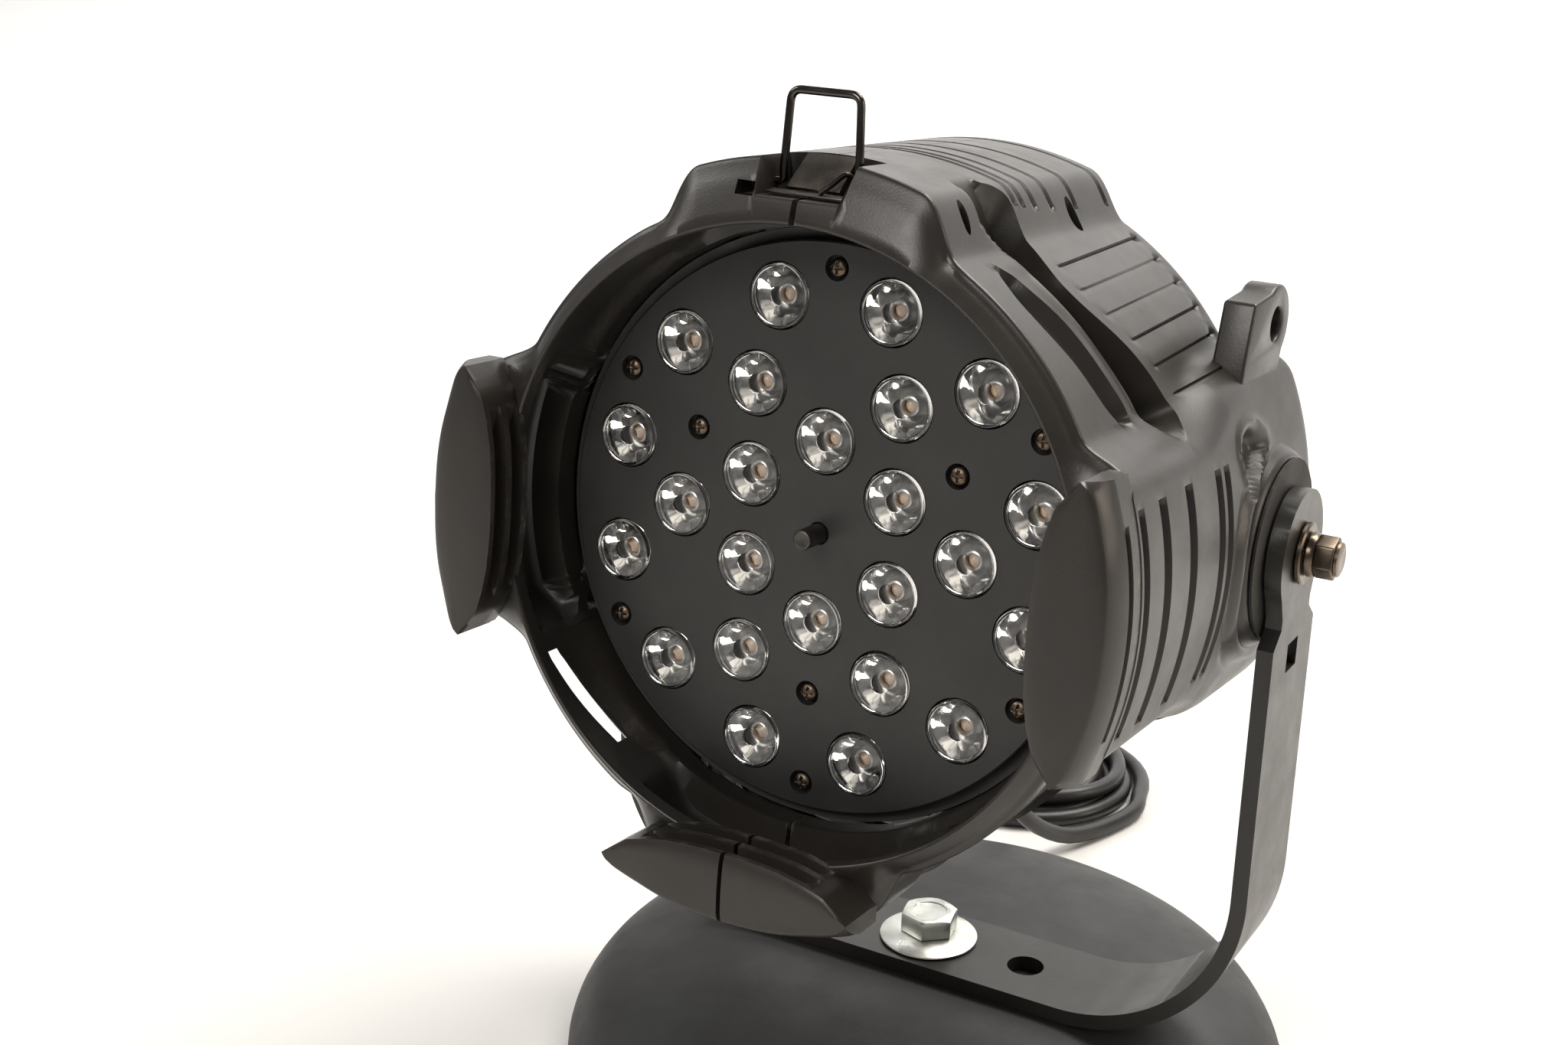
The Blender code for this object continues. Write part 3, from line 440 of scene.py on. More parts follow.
M = {
    "housing": coated(
        "housing_powder", (0.016, 0.014, 0.012), (0.025, 0.0215, 0.018), (0.29, 0.39), 1300.0, 0.00004,
        (0.16, 0.15, 0.14), (0.56, 0.66),
    ),
    "cover": coated("cover_powder", (0.018, 0.017, 0.016), (0.027, 0.025, 0.023), (0.4, 0.52), 1500.0),
    "plate": coated(
        "plate_paint", (0.022, 0.021, 0.020), (0.032, 0.0305, 0.029), (0.36, 0.46), 2200.0, 0.00004
    ),
    "yoke": coated(
        "yoke_powder", (0.014, 0.013, 0.0115), (0.022, 0.020, 0.017), (0.28, 0.40), 1200.0, 0.00004,
        patches=30.0,
    ),
    "base": coated(
        "base_powder", (0.013, 0.013, 0.0135), (0.020, 0.020, 0.021), (0.5, 0.62), 1700.0, 0.00008
    ),
    "zinc": metal("zinc_plate", (0.50, 0.51, 0.47), (0.74, 0.75, 0.71), (0.22, 0.42), 500.0, 0.00003),
    "nickel": metal(
        "dark_nickel_plate", (0.07, 0.055, 0.04), (0.19, 0.155, 0.115), (0.2, 0.4), 420.0, 0.00003
    ),
    "bronze": metal("bronzed_screw", (0.10, 0.075, 0.055), (0.22, 0.17, 0.13), (0.25, 0.45), 700.0, 0.00002),
    "wire": metal(
        "polished_black_wire", (0.05, 0.046, 0.042), (0.10, 0.094, 0.086), (0.1, 0.24), 600.0, 0.00001
    ),
    "sheet": metal("blackened_sheet", (0.055, 0.047, 0.04), (0.12, 0.105, 0.09), (0.3, 0.5), 500.0, 0.00003),
    "post": metal("blackened_post", (0.07, 0.066, 0.06), (0.16, 0.15, 0.14), (0.32, 0.5), 260.0, 0.00004),
    "aluminium": metal(
        "mill_aluminium", (0.52, 0.52, 0.52), (0.72, 0.72, 0.71), (0.28, 0.46), 90.0, 0.00004,
        stretch=(1.0, 1.0, 14.0),
    ),
    "steel": metal("folded_steel", (0.45, 0.45, 0.44), (0.62, 0.62, 0.6), (0.3, 0.48), 200.0),
    "iron": coated("cast_iron", (0.05, 0.05, 0.05), (0.09, 0.088, 0.085), (0.65, 0.8), 420.0, 0.0003),
    "rubber": moulded(
        "foot_rubber", (0.016, 0.016, 0.016), (0.028, 0.027, 0.026), (0.7, 0.85), 900.0, 0.0001
    ),
    "board": moulded("board_resist", (0.74, 0.74, 0.70), (0.84, 0.84, 0.80), (0.35, 0.5), 700.0),
    "fan": moulded("fan_plastic", (0.014, 0.014, 0.014), (0.024, 0.024, 0.024), (0.4, 0.55)),
    "button": moulded("button_plastic", (0.09, 0.09, 0.09), (0.14, 0.14, 0.14), (0.4, 0.55)),
    "socket": moulded("socket_nylon", (0.018, 0.018, 0.018), (0.03, 0.03, 0.03), (0.28, 0.4)),
    "window": moulded(
        "display_window", (0.012, 0.004, 0.004), (0.02, 0.007, 0.006), (0.06, 0.14), 300.0, 0.00001
    ),
    "gland": moulded("gland_nylon", (0.014, 0.014, 0.014), (0.024, 0.024, 0.023), (0.42, 0.55)),
    "lead": moulded(
        "lead_jacket", (0.010, 0.010, 0.010), (0.018, 0.0175, 0.017), (0.34, 0.46), 1300.0, 0.00004
    ),
    "fibre": moulded("fibre_disc", (0.018, 0.017, 0.016), (0.03, 0.028, 0.026), (0.6, 0.8), 800.0, 0.00008),
    "brass": metal("contact_brass", (0.55, 0.42, 0.2), (0.75, 0.6, 0.33), (0.2, 0.35), 500.0),
    "lens": clear_plastic(),
    "cone": reflector_mat(),
    "diode": diode_mat(),
    "floor": floor_mat(),
}


# ---------------------------------------------------------------- camera


def make_camera():
    camera = bpy.data.objects.new("camera", bpy.data.cameras.new("camera"))
    camera.data.lens = 49.53
    camera.data.sensor_width = 36.0
    camera.data.clip_start = 0.02
    camera.location = (0.3074, -0.65435, 0.4594)
    camera.rotation_euler = [math.radians(a) for a in (71.019, -1.387, 30.287)]
    bpy.context.scene.collection.objects.link(camera)
    bpy.context.scene.camera = camera


make_camera()


# ---------------------------------------------------------------- mains lead


def head_point(x, y, z):
    """A point of the head's frame as millimetres in the row's frame."""
    return (HEAD @ Vector((x, y, z))) / MM


def lead_drop():
    """The lead from its gland down to the table behind the base and up to the coil."""
    start = head_point(-54.0, 138.3, -40.0)
    along = Matrix.Rotation(TILT_AT_REST, 3, "X") @ Vector((0, 1, 0))
    join = Vector((COIL_CENTRE[0] + 58.55, COIL_CENTRE[1] + 8.0, 4.35))
    route = [
        start,
        start + along * 10,
        start + along * 21,
        start + along * 46 + Vector((1, 0, -12)),
        start + Vector((4, 74, -62)),
        start + Vector((12, 84, -112)),
        Vector((-30, 150, 30)),
        Vector((-20, 176, 9)),
        Vector((-10, 200, 4.35)),
        join + Vector((4, -18, 0)),
        join,
    ]
    return catmull(route, 4)


def follow(stops, turn):
    """Value at an angle, moving gently from one stop to the next."""
    angles, values = np.array(stops).T
    k = np.searchsorted(angles, turn) - 1
    t = (turn - angles[k]) / (angles[k + 1] - angles[k])
    return values[k] + (values[k + 1] - values[k]) * (0.5 - 0.5 * math.cos(math.pi * t))


def coil_turns():
    """Three turns side by side on the table and one on top of them, then out towards the plug."""
    cx, cy = COIL_CENTRE
    first = math.degrees(math.atan2(8.0, 58.55))
    last = 1505.0 - first
    radii = (
        (0, 58.9), (120, 50.7), (350, 50.7), (470, 43.0), (710, 43.0), (830, 35.3),
        (1070, 35.3), (1190, 39.2), (1330, 39.2), (1450, 46.8), (last, 46.9),
    )
    low, high, over = 4.2, 10.7, 11.7
    heights = (
        (0, low), (1030, low), (1130, over), (1190, high),
        (1330, high), (1390, over), (1440, high), (last, 12.0),
    )
    points = []
    for turn in np.arange(7.5, last, 7.5):
        r = follow(radii, turn)
        a = math.radians(first + turn)
        points.append(Vector((cx + r * math.cos(a), cy + r * math.sin(a), follow(heights, turn))))
    return points


def plug_place():
    """Where the plug's body begins on the lead, and the direction that it points in."""
    leave = math.radians(65.0)
    away = Vector((-math.sin(leave), math.cos(leave), 0.0))
    centre = Vector((*COIL_CENTRE, 11.0))
    return centre + Vector((math.cos(leave), math.sin(leave), 0.0)) * 46.8 + away * 44.0, away


def make_lead():
    entry, away = plug_place()
    up = Vector((0, 0, 1))
    tail = [entry - away * 26 + up, entry - away * 13 + up * 0.4, entry + away * 4]
    path = lead_drop() + coil_turns() + tail
    bm = bmesh.new()
    tube(bm, path, LEAD_DIAMETER / 2, 16)
    lead = piece_from(bm, "mains_lead_jacket", ROW, 60.0)
    length = sum((b - a).length for a, b in zip(path, path[1:])) * MM
    return lead, [p * MM for p in path], length


def make_plug():
    """A moulded plug lying on its side, with a ribbed strain relief and flat contacts."""
    entry, away = plug_place()
    side = Vector((away.y, -away.x, 0.0))
    frame_of_plug = Matrix.Translation((entry.x, entry.y, 0.0)) @ Matrix(
        ((side.x, away.x, 0, 0), (side.y, away.y, 0, 0), (0, 0, 1, 0), (0, 0, 0, 1))
    )
    outline = [(-9, 0.4), (9, 0.4), (10, 4), (10, 18), (6, 22), (-6, 22), (-10, 18), (-10, 4)]
    bm = bmesh.new()
    prism(bm, outline, 10.0, 34.0, "Y")
    body = piece_from(bm, "mains_plug_body", ROW @ frame_of_plug, 30.0)
    add_bevel(body, 1.4, 3)
    relief = bmesh.new()
    rings = [(4.2, 0.0)]
    for k in range(5):
        y = 1.0 + 2.0 * k
        r = 4.6 + 0.5 * k
        rings += [(r, y), (r, y + 1.1), (r - 0.6, y + 1.3), (r - 0.6, y + 1.9)]
    lathe(relief, [(0, 0), *rings, (7.4, 11.0), (0, 11.5)], 24, (0, 0, 11.0), "Y")
    boot = piece_from(relief, "mains_plug_boot", ROW @ frame_of_plug, 40.0)
    contacts = bmesh.new()
    for x in (-5.5, 5.5):
        box(contacts, (x - 0.8, 33.0, 11.0), (x + 0.8, 52.0, 17.0))
    cylinder(contacts, (0, 43.5, 7.0), 2.3, 20.6, "Y", 20)
    pins = piece_from(contacts, "mains_plug_contacts", ROW @ frame_of_plug, 30.0)
    add_bevel(pins, 0.35)
    dress(body, M["lead"], "yoke", ["mains_plug"])
    dress(boot, M["lead"], "yoke")
    dress(pins, M["brass"], "yoke")
    return [body, boot, pins]


def make_gland():
    """The hexagonal gland nut with its tapered, ribbed strain relief."""
    at = (-54.0, 114.0, -40.0)
    bm = bmesh.new()
    collar = [(0, -5.0), (6.0, -5.0), (6.0, 1.5), (8.6, 1.5), (8.6, 3.2)]
    spring = []
    for k in range(6):
        h = 10.6 + 2.2 * k
        r = 6.9 - 0.22 * k
        spring += [(r, h), (r, h + 1.2), (r - 0.8, h + 1.4), (r - 0.8, h + 2.0)]
    lathe(bm, [*collar, (7.6, 3.4), *spring, (4.1, 23.9), (0, 23.9)], 32, at, "Y")
    gland = piece_from(bm, "gland_relief", HEAD, 35.0)
    nut = bmesh.new()
    cylinder(nut, (at[0], at[1] + 7.0, at[2]), 8.6, 6.4, "Y", 6)
    nut_obj = piece_from(nut, "gland_nut", HEAD, 30.0)
    add_bevel(nut_obj, 0.7, 3)
    dress(gland, M["gland"], "head", ["cable_gland"])
    dress(nut_obj, M["gland"], "head")
    return [gland, nut_obj]


LEAD, LEAD_PATH, LEAD_LENGTH = make_lead()
LEAD.data.materials.append(M["lead"])
PLUG = make_plug()
GLAND = make_gland()
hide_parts("mains_lead", "cord_coil")
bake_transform(LEAD)


# ---------------------------------------------------------------- housing shells

# Edges of the recess between the raised bands: places along the optical axis, by the angle in
# degrees from the nearest of the top and the bottom.
SLOT_FRONT = curve_through(
    (0, -12), (26, -9), (31, -6), (33, -8), (38, -11.3), (44, -10.2), (50, -6.4), (55, -3.6), (59, -0.7),
    (62.5, 4), (68, 4),
)
SLOT_REAR = curve_through(
    (0, -4), (26, -4), (31, -2.5), (33, -0.3), (37, 1.2), (43, 4.7), (50, 7.3), (55, 9.3), (59.5, 12),
    (62.5, 12), (68, 12),
)
LOWER_SLOT_FRONT = curve_through(
    (0, -12), (26, -9), (31, -8), (37.6, -9.1), (45, -11.5), (55, -14.6), (58.4, -15.4), (64, -14),
    (68, -8),
)
LOWER_SLOT_REAR = curve_through(
    (0, -4), (26, -4), (31, -3.4), (37.6, -3.9), (45, -5.4), (55, -8.8), (58.4, -10.4), (64, -9),
    (68, -4),
)
CHANNEL_FRONT = curve_through(
    (0, 2.5), (15, 1.8), (22, 2.6), (24, 4), (26, 8), (28, 11), (37, 12.4), (43, 13.6), (50, 15),
    (55.5, 17.2), (59, 19), (63, 20.5), (67.5, 26),
)
CHANNEL_REAR = curve_through(
    (0, 17), (16, 17), (19, 21.3), (21.5, 26), (26, 25.6), (29.7, 22.9), (33.5, 19.4), (37.5, 17),
    (41.5, 18.2), (45, 21.5), (49, 26.5), (53, 31), (58.6, 35.5), (63.3, 37.5), (67.5, 29),
)
# Grooves: (middle, end angle) on the top and bottom bands, (middle, half width, depth) on the sides
TOP_GROOVES = ((29.0, 22.8), (34.0, 23.1), (42.0, 23.4), (54.0, 23.9), (72.0, 24.6), (97.0, 25.0))
SIDE_GROOVES = ((-25.0, 2.2, 2.4), (-8.4, 3.0, 3.0), (13.0, 3.1, 3.0), (38.3, 2.6, 2.8), (46.0, 2.4, 2.6))
# Vent holes: (angle, place along the axis, half size across, half size along)
SHOULDER_HOLES = ((22.6, -6.2, 4.2, 2.2), (25.3, 67.2, 5.4, 3.0))

# Creases on the diagonals, in degrees from the top or bottom
RIB_FIRST = 34.2
RIB_PITCH = 5.4
RIB_COUNT = 6
NOTCH_FLOOR = 106.0

# Rows of the outer skin: (place on the top band, fraction of the diagonal or a curve, place on the
# side band, steps to the next row key)
ROW_KEYS = (
    (-21.5, -23.5, -28.8, 2),
    (-20.2, -22.2, -27.3, 5),
    (-18.0, -20.0, -22.7, 4),
    (-12.0, "slot_front", -11.5, 6),
    (-4.15, "slot_rear", -5.8, 1),
    (-3.85, "ridge", -5.3, 5),
    (2.5, "channel_front", 9.8, 12),
    (None, "channel_rear", 16.2, 3),
    (27.4, 0.03, 20.0, 5),
    (30.6, 0.06, 27.0, 2),
    (32.4, 0.09, 32.6, 5),
    (35.6, 0.12, 35.5, 4),
    (40.4, 0.20, 41.0, 5),
    (43.6, 0.23, 43.5, 3),
    (46.0, 0.28, 48.5, 4),
    (50.0, 0.33, 50.5, 3),
    (52.4, 0.37, 52.6, 5),
    (55.6, 0.40, 56.0, 14),
    (70.4, 0.60, 70.0, 5),
    (73.6, 0.63, 73.6, 8),
    (95.4, 0.86, 94.0, 5),
    (98.6, 0.90, 97.6, 3),
    (102.6, 0.97, 102.6, 2),
    (104.0, 1.0, 104.0, 0),
)


def column_angles():
    """Angles of the mesh columns over a quarter, close together where the shape changes."""
    ribs = []
    for k in range(RIB_COUNT):
        crease = RIB_FIRST + RIB_PITCH * k
        ribs += [crease - 0.3, crease, crease + 0.3]
        if k < RIB_COUNT - 1:
            ribs += [crease + 1.3, crease + 2.7, crease + 4.1]
    parts = [
        np.linspace(0, 6.9, 6),
        [7.6, 7.95],
        np.linspace(9, 14.5, 5),
        np.arange(15.5, 28.0, 0.45),
        np.arange(28.5, 33.7, 0.9),
        ribs,
        np.arange(62.2, 82.5, 0.62),
        np.linspace(83.3, 90, 8),
    ]
    return np.concatenate(parts)


def band_weight(angle):
    """1 on the raised bands at the top, bottom and sides, 0 on the diagonals between them."""
    away = np.abs((angle + 45.0) % 90.0 - 45.0)
    return 1.0 - smooth((away - 18.5) / 10.0)


def slot_edges(angle, lower):
    """Front and rear edges of the slot, which slants the other way in the lower half."""
    if lower:
        return float(LOWER_SLOT_FRONT(angle)), float(LOWER_SLOT_REAR(angle))
    return float(SLOT_FRONT(angle)), float(SLOT_REAR(angle))


def slot_reach(angle):
    return smooth((angle - 30.0) / 4.0) * smooth((63.5 - angle) / 3.0)


def outer_rows(angle, lower):
    """Places along the axis of the outer skin's rows, in the column at an angle from the top."""
    slot_front, slot_rear = slot_edges(angle, lower)
    top = 1.0 - smooth((angle - 25.7) / 6.0)
    side = smooth((angle - 66.5) / 5.5)
    curves = {
        "slot_front": slot_front,
        "slot_rear": slot_rear,
        "channel_front": float(CHANNEL_FRONT(angle)),
        "channel_rear": float(CHANNEL_REAR(angle)),
    }
    curves["ridge"] = curves["slot_rear"] + 0.12 * (curves["channel_front"] - curves["slot_rear"])
    keys = []
    for at_top, at_diagonal, at_side, _ in ROW_KEYS:
        if isinstance(at_diagonal, str):
            diagonal = curves[at_diagonal]
        elif at_diagonal > 0:
            diagonal = curves["channel_rear"] + at_diagonal * (104.0 - curves["channel_rear"])
        else:
            diagonal = at_diagonal
        crown = curves["channel_rear"] if at_top is None else at_top
        keys.append(crown * top + at_side * side + diagonal * (1.0 - top - side))
    rows = []
    for (one, two), (_, _, _, steps) in zip(zip(keys, keys[1:]), ROW_KEYS):
        rows += [one + (two - one) * k / steps for k in range(steps)]
    return np.array([*rows, keys[-1]])


def groove(y, middle, half, depth):
    across = np.clip(np.abs(y - middle) / half, 0.0, 1.0)
    return depth * (1.0 - across**4)


def outer_radius(angle, phi, y):
    """Radius of the outer skin. angle is from the nearest of top and bottom, phi from the top."""
    spread = 5.5 * smooth((y - 28.0) / 45.0) * smooth((angle - 52.0) / 8.0)
    weight = band_weight(angle + spread)
    front, rear = float(CHANNEL_FRONT(angle)), float(CHANNEL_REAR(angle))
    slot_front, slot_rear = slot_edges(angle, phi > 90.0)
    envelope = 106.0 + (CROWN_RADIUS - 106.0) * weight
    body = 108.3 + (CROWN_RADIUS - 108.3) * weight
    r = envelope + (body - envelope) * smooth((y - front) / (rear - front))
    along = (y - front) / (rear - front)
    reach = smooth((angle - 16.0) / 6.0) * smooth((67.5 - angle) / 5.5)
    r = r - 11.0 * reach * smooth(along / 0.18) * smooth((1.0 - along) / 0.07)
    ledge = slot_reach(angle)
    r = r - 1.0 * ledge * smooth((y - slot_rear) / 1.5) * smooth((front + 0.5 - y) / 1.0)
    across = (y - slot_front) / (slot_rear - slot_front)
    r = r - 5.4 * ledge * smooth(across / 0.25) * smooth((1.0 - across) / 0.25)
    for middle, end in TOP_GROOVES:
        r = r - groove(y, middle, 1.55, 2.1) * smooth((end - angle) / 0.6)
    for middle, half, depth in SIDE_GROOVES:
        r = r - groove(y, middle, half, depth) * smooth((angle - 73.2) / 0.9)
    rear_gap = smooth((y - 102.6) / 1.6)
    r = r - 0.8 * rear_gap
    if RIB_FIRST - RIB_PITCH < angle < RIB_FIRST + RIB_PITCH * RIB_COUNT:
        r = r + rib_relief(angle, y, rear)
    return r + side_relief(phi, y)


def rib_relief(angle, y, rear):
    """Soft steps between fine creases on the diagonal of the body, with a notch at each rear end."""
    part = ((angle - RIB_FIRST) / RIB_PITCH) % 1.0
    inside = smooth((angle - RIB_FIRST + 3.0) / 3.0) * smooth((RIB_FIRST + RIB_PITCH * 5 + 3.0 - angle) / 3.0)
    begin = rear + 5.0
    along = smooth((y - begin) / 5.0) * smooth((99.0 - y) / 2.0)
    step = 0.55 * (part - 0.5)
    crease = np.exp(-((min(part, 1.0 - part) * RIB_PITCH / 0.16) ** 2))
    notch = np.exp(-((min(part, 1.0 - part) * RIB_PITCH / 0.5) ** 2)) * np.exp(-(((y - 97.0) / 1.8) ** 2))
    return inside * (along * (step - 0.75 * crease) - 1.6 * notch)


def side_relief(phi, y):
    """The teardrop recess and the pair of ridges around the tilt boss, on the side band."""
    z = CROWN_RADIUS * np.cos(np.radians(phi))
    y0, z0 = PIVOT_IN_HEAD[1], PIVOT_IN_HEAD[2]
    t = np.clip((z - 20.5) / 13.0, 0.0, 1.0)
    width = 1.2 + 6.3 * t
    middle = 63.6 + 4.6 * t
    cap = np.where(z > 33.5, np.hypot(z - 33.5, y - 68.2) / 7.5, np.abs(y - middle) / width)
    cap = np.where(z < 20.5, np.hypot(z - 20.5, y - 63.6) / 1.2, cap)
    drop = -4.2 * smooth((1.0 - cap) / 0.45) + 0.9 * np.exp(-(((cap - 1.22) / 0.16) ** 2))
    distance = np.hypot(y - y0, z - z0)
    front = smooth((y0 + 6.0 - y) / 14.0) * smooth((26.0 - z) / 8.0) * smooth((z + 54.0) / 10.0)
    ridge = 1.5 * np.exp(-(((distance - 39.5) / 2.3) ** 2)) - 1.1 * np.exp(-(((distance - 44.6) / 1.5) ** 2))
    hollow = -1.4 * smooth((distance - 31.0) / 2.0) * smooth((37.5 - distance) / 2.0)
    return drop + front * (ridge + hollow)


def inner_radius(weight, y):
    """Inside of the casting: front rim, hollow, a second rim at the lens plate, then the body."""
    hollow = smooth((y + 24.2) / 1.2) * smooth((-5.4 - y) / 1.2)
    r = 98.5 + 9.0 * weight * hollow
    r = r + (95.6 - 98.5 + 0.4 * weight) * smooth((y + 9.5) / 4.5)
    r = r + 19.0 * weight * smooth((y - 4.2) / 1.2)
    return r + (10.2 - 10.2 * weight) * smooth((y - 31.0) / 2.0)


def rear_stretch(angle, y):
    """The side bands run on past the body as cheeks that carry the tilt axis."""
    end = 104.0 + 24.0 * (1.0 - smooth((90.0 - angle - 24.0) / 9.0))
    return np.where(y > 60.0, 60.0 + (y - 60.0) * (end - 60.0) / 44.0, y)


def shell_column(angle, lower):
    """Outer and inner skins of one column as arrays of (x, y, z), and its front face."""
    y = outer_rows(angle, lower)
    lean = 0.033 * smooth((angle - 27.0) / 6.0) * smooth((68.0 - angle) / 5.0)
    turned = angle - lean * np.clip(y - 30.0, 0.0, None)
    phi = 180.0 - turned if lower else turned
    r = np.array([outer_radius(angle, f, v) for f, v in zip(phi, y)])
    a = np.radians(phi)
    if angle < 7.8 and not lower:
        r = np.where(y < -4.0, NOTCH_FLOOR / np.cos(a), r)
        y[:8] = np.linspace(-27.9, y[7], 8)

    # The inner skin lies further forward at the slots, so that their walls slant outwards to the rear
    slot_front, slot_rear = slot_edges(angle, lower)
    ahead = 9.4 * slot_reach(angle)
    end = float(CHANNEL_FRONT(angle)) + 4.0
    marks = (y[0], slot_front, slot_rear, end)
    inside = np.where(y < end, np.interp(y, marks, (-28.6, slot_front - ahead, slot_rear - ahead, end)), y)
    skin = np.array([outer_radius(angle, f, v) for f, v in zip(phi, inside)])
    if angle < 7.8 and not lower:
        skin = np.minimum(skin, r)
    inner = np.minimum(inner_radius(band_weight(turned), inside), skin - 1.6)
    inner = np.where(inside < -26.0, 98.5, inner)

    y = rear_stretch(angle, y)
    inside = np.where(inside > 60.0, y, inside)
    outer_xyz = np.stack([r * np.sin(a), y, r * np.cos(a)], 1)
    inner_xyz = np.stack([inner * np.sin(a), inside, inner * np.cos(a)], 1)

    a0, r0, y0 = a[0], r[0], y[0]
    drop = min(1.3, 0.5 * (y0 + 30.0))
    face = [(r0 - 0.35, y0 - 0.45 * drop), (r0 - 0.9, y0 - 0.8 * drop), (r0 - 1.7, y0 - drop)]
    for t in (0.2, 0.4, 0.6, 0.8):
        face.append((r0 - 1.7 + (99.6 - r0 + 1.7) * t, y0 - drop + (-30.0 - y0 + drop) * t**0.8))
    face += [(99.6, -30.0), (98.9, -29.8), (98.5, -29.3)]
    face_xyz = np.array([(fr * math.sin(a0), fy, fr * math.cos(a0)) for fr, fy in face])
    return outer_xyz, inner_xyz, face_xyz


def wall(bm, outer, inner, one, two):
    """A strip between the two skins, along an edge of their grids."""
    (i, j), (k, m) = one, two
    bm.faces.new((outer[i][j], outer[k][m], inner[k][m], inner[i][j]))


def shoulder_cuts(side):
    """The vent holes of one half casting, and on the left the wing of the catch's notch."""
    bm = bmesh.new()
    for angle, y, half_across, half_along in SHOULDER_HOLES:
        turn = Matrix.Rotation(math.radians(side * angle), 4, "Y")
        size = Matrix.Diagonal((half_across, half_along, 1.0, 1.0))
        at = turn @ Matrix.Translation((0, y, 114.0)) @ size
        bmesh.ops.create_cone(bm, cap_ends=True, segments=32, radius1=1.0, radius2=1.0, depth=16.0, matrix=at)
    if side < 0:
        box(bm, (-21.5, -36.0, 105.4), (-15.0, -17.0, 109.6))
    return piece_from(bm, "shoulder_cuts", HEAD)


def shell_half(side, name):
    """One half casting, on the side +1 or -1, closed at the seam, which gapes a little at the ring."""
    quarter = column_angles()
    columns = [shell_column(angle, False) for angle in quarter]
    columns += [shell_column(angle, True) for angle in quarter[-2::-1]]
    angles = np.concatenate([quarter, quarter[-2::-1]])
    bm = bmesh.new()
    grids = []
    for part in range(3):
        grid = []
        for k, column in enumerate(columns):
            points = column[part].copy()
            if k in (0, len(columns) - 1):
                points[:, 0] = SEAM + 0.8 * (1.0 - smooth((points[:, 1] + 7.0) / 4.0))
            grid.append([bm.verts.new((side * x, y, z)) for x, y, z in points])
        grids.append(grid)
    outer, inner, face = grids
    slot_row = sum(steps for _, _, _, steps in ROW_KEYS[:3])
    half_way = len(quarter) - 1

    def is_open(i, j):
        """Whether a face lies in the slot that goes right through, on the lower diagonal."""
        inside = i >= half_way and slot_row <= j < slot_row + 6
        return inside and 36.2 < min(angles[i], angles[i + 1]) and max(angles[i], angles[i + 1]) < 58.8

    count = len(outer[0])
    for i in range(len(columns) - 1):
        for j in range(count - 1):
            if is_open(i, j):
                for (di, dj), (ei, ej), neighbour in (
                    ((0, 0), (1, 0), (i, j - 1)),
                    ((0, 1), (1, 1), (i, j + 1)),
                    ((0, 0), (0, 1), (i - 1, j)),
                    ((1, 0), (1, 1), (i + 1, j)),
                ):
                    if not is_open(*neighbour):
                        wall(bm, outer, inner, (i + di, j + dj), (i + ei, j + ej))
                continue
            for grid in (outer, inner):
                bm.faces.new((grid[i][j], grid[i + 1][j], grid[i + 1][j + 1], grid[i][j + 1]))
        wall(bm, outer, inner, (i, -1), (i + 1, -1))
        rim = [outer[k][:1] + face[k] + inner[k][:1] for k in (i, i + 1)]
        for j in range(len(rim[0]) - 1):
            bm.faces.new((rim[0][j], rim[1][j], rim[1][j + 1], rim[0][j + 1]))
    for i in (0, -1):
        for j in range(count - 1):
            wall(bm, outer, inner, (i, j), (i, j + 1))
        bm.faces.new([outer[i][0], *face[i], inner[i][0]])
    shell = piece_from(bm, name, HEAD, 42.0)
    cut(shell, shoulder_cuts(side))
    shell.data.shade_smooth()
    shell.data.set_sharp_from_angle(angle=math.radians(42.0))
    return shell


PAD_LIP = curve_through(
    (0, 114.2), (12, 113.7), (22, 112.3), (31, 109.9), (36, 108.5), (40, 107.2), (42.6, 105.6),
    (44, 103.5),
)


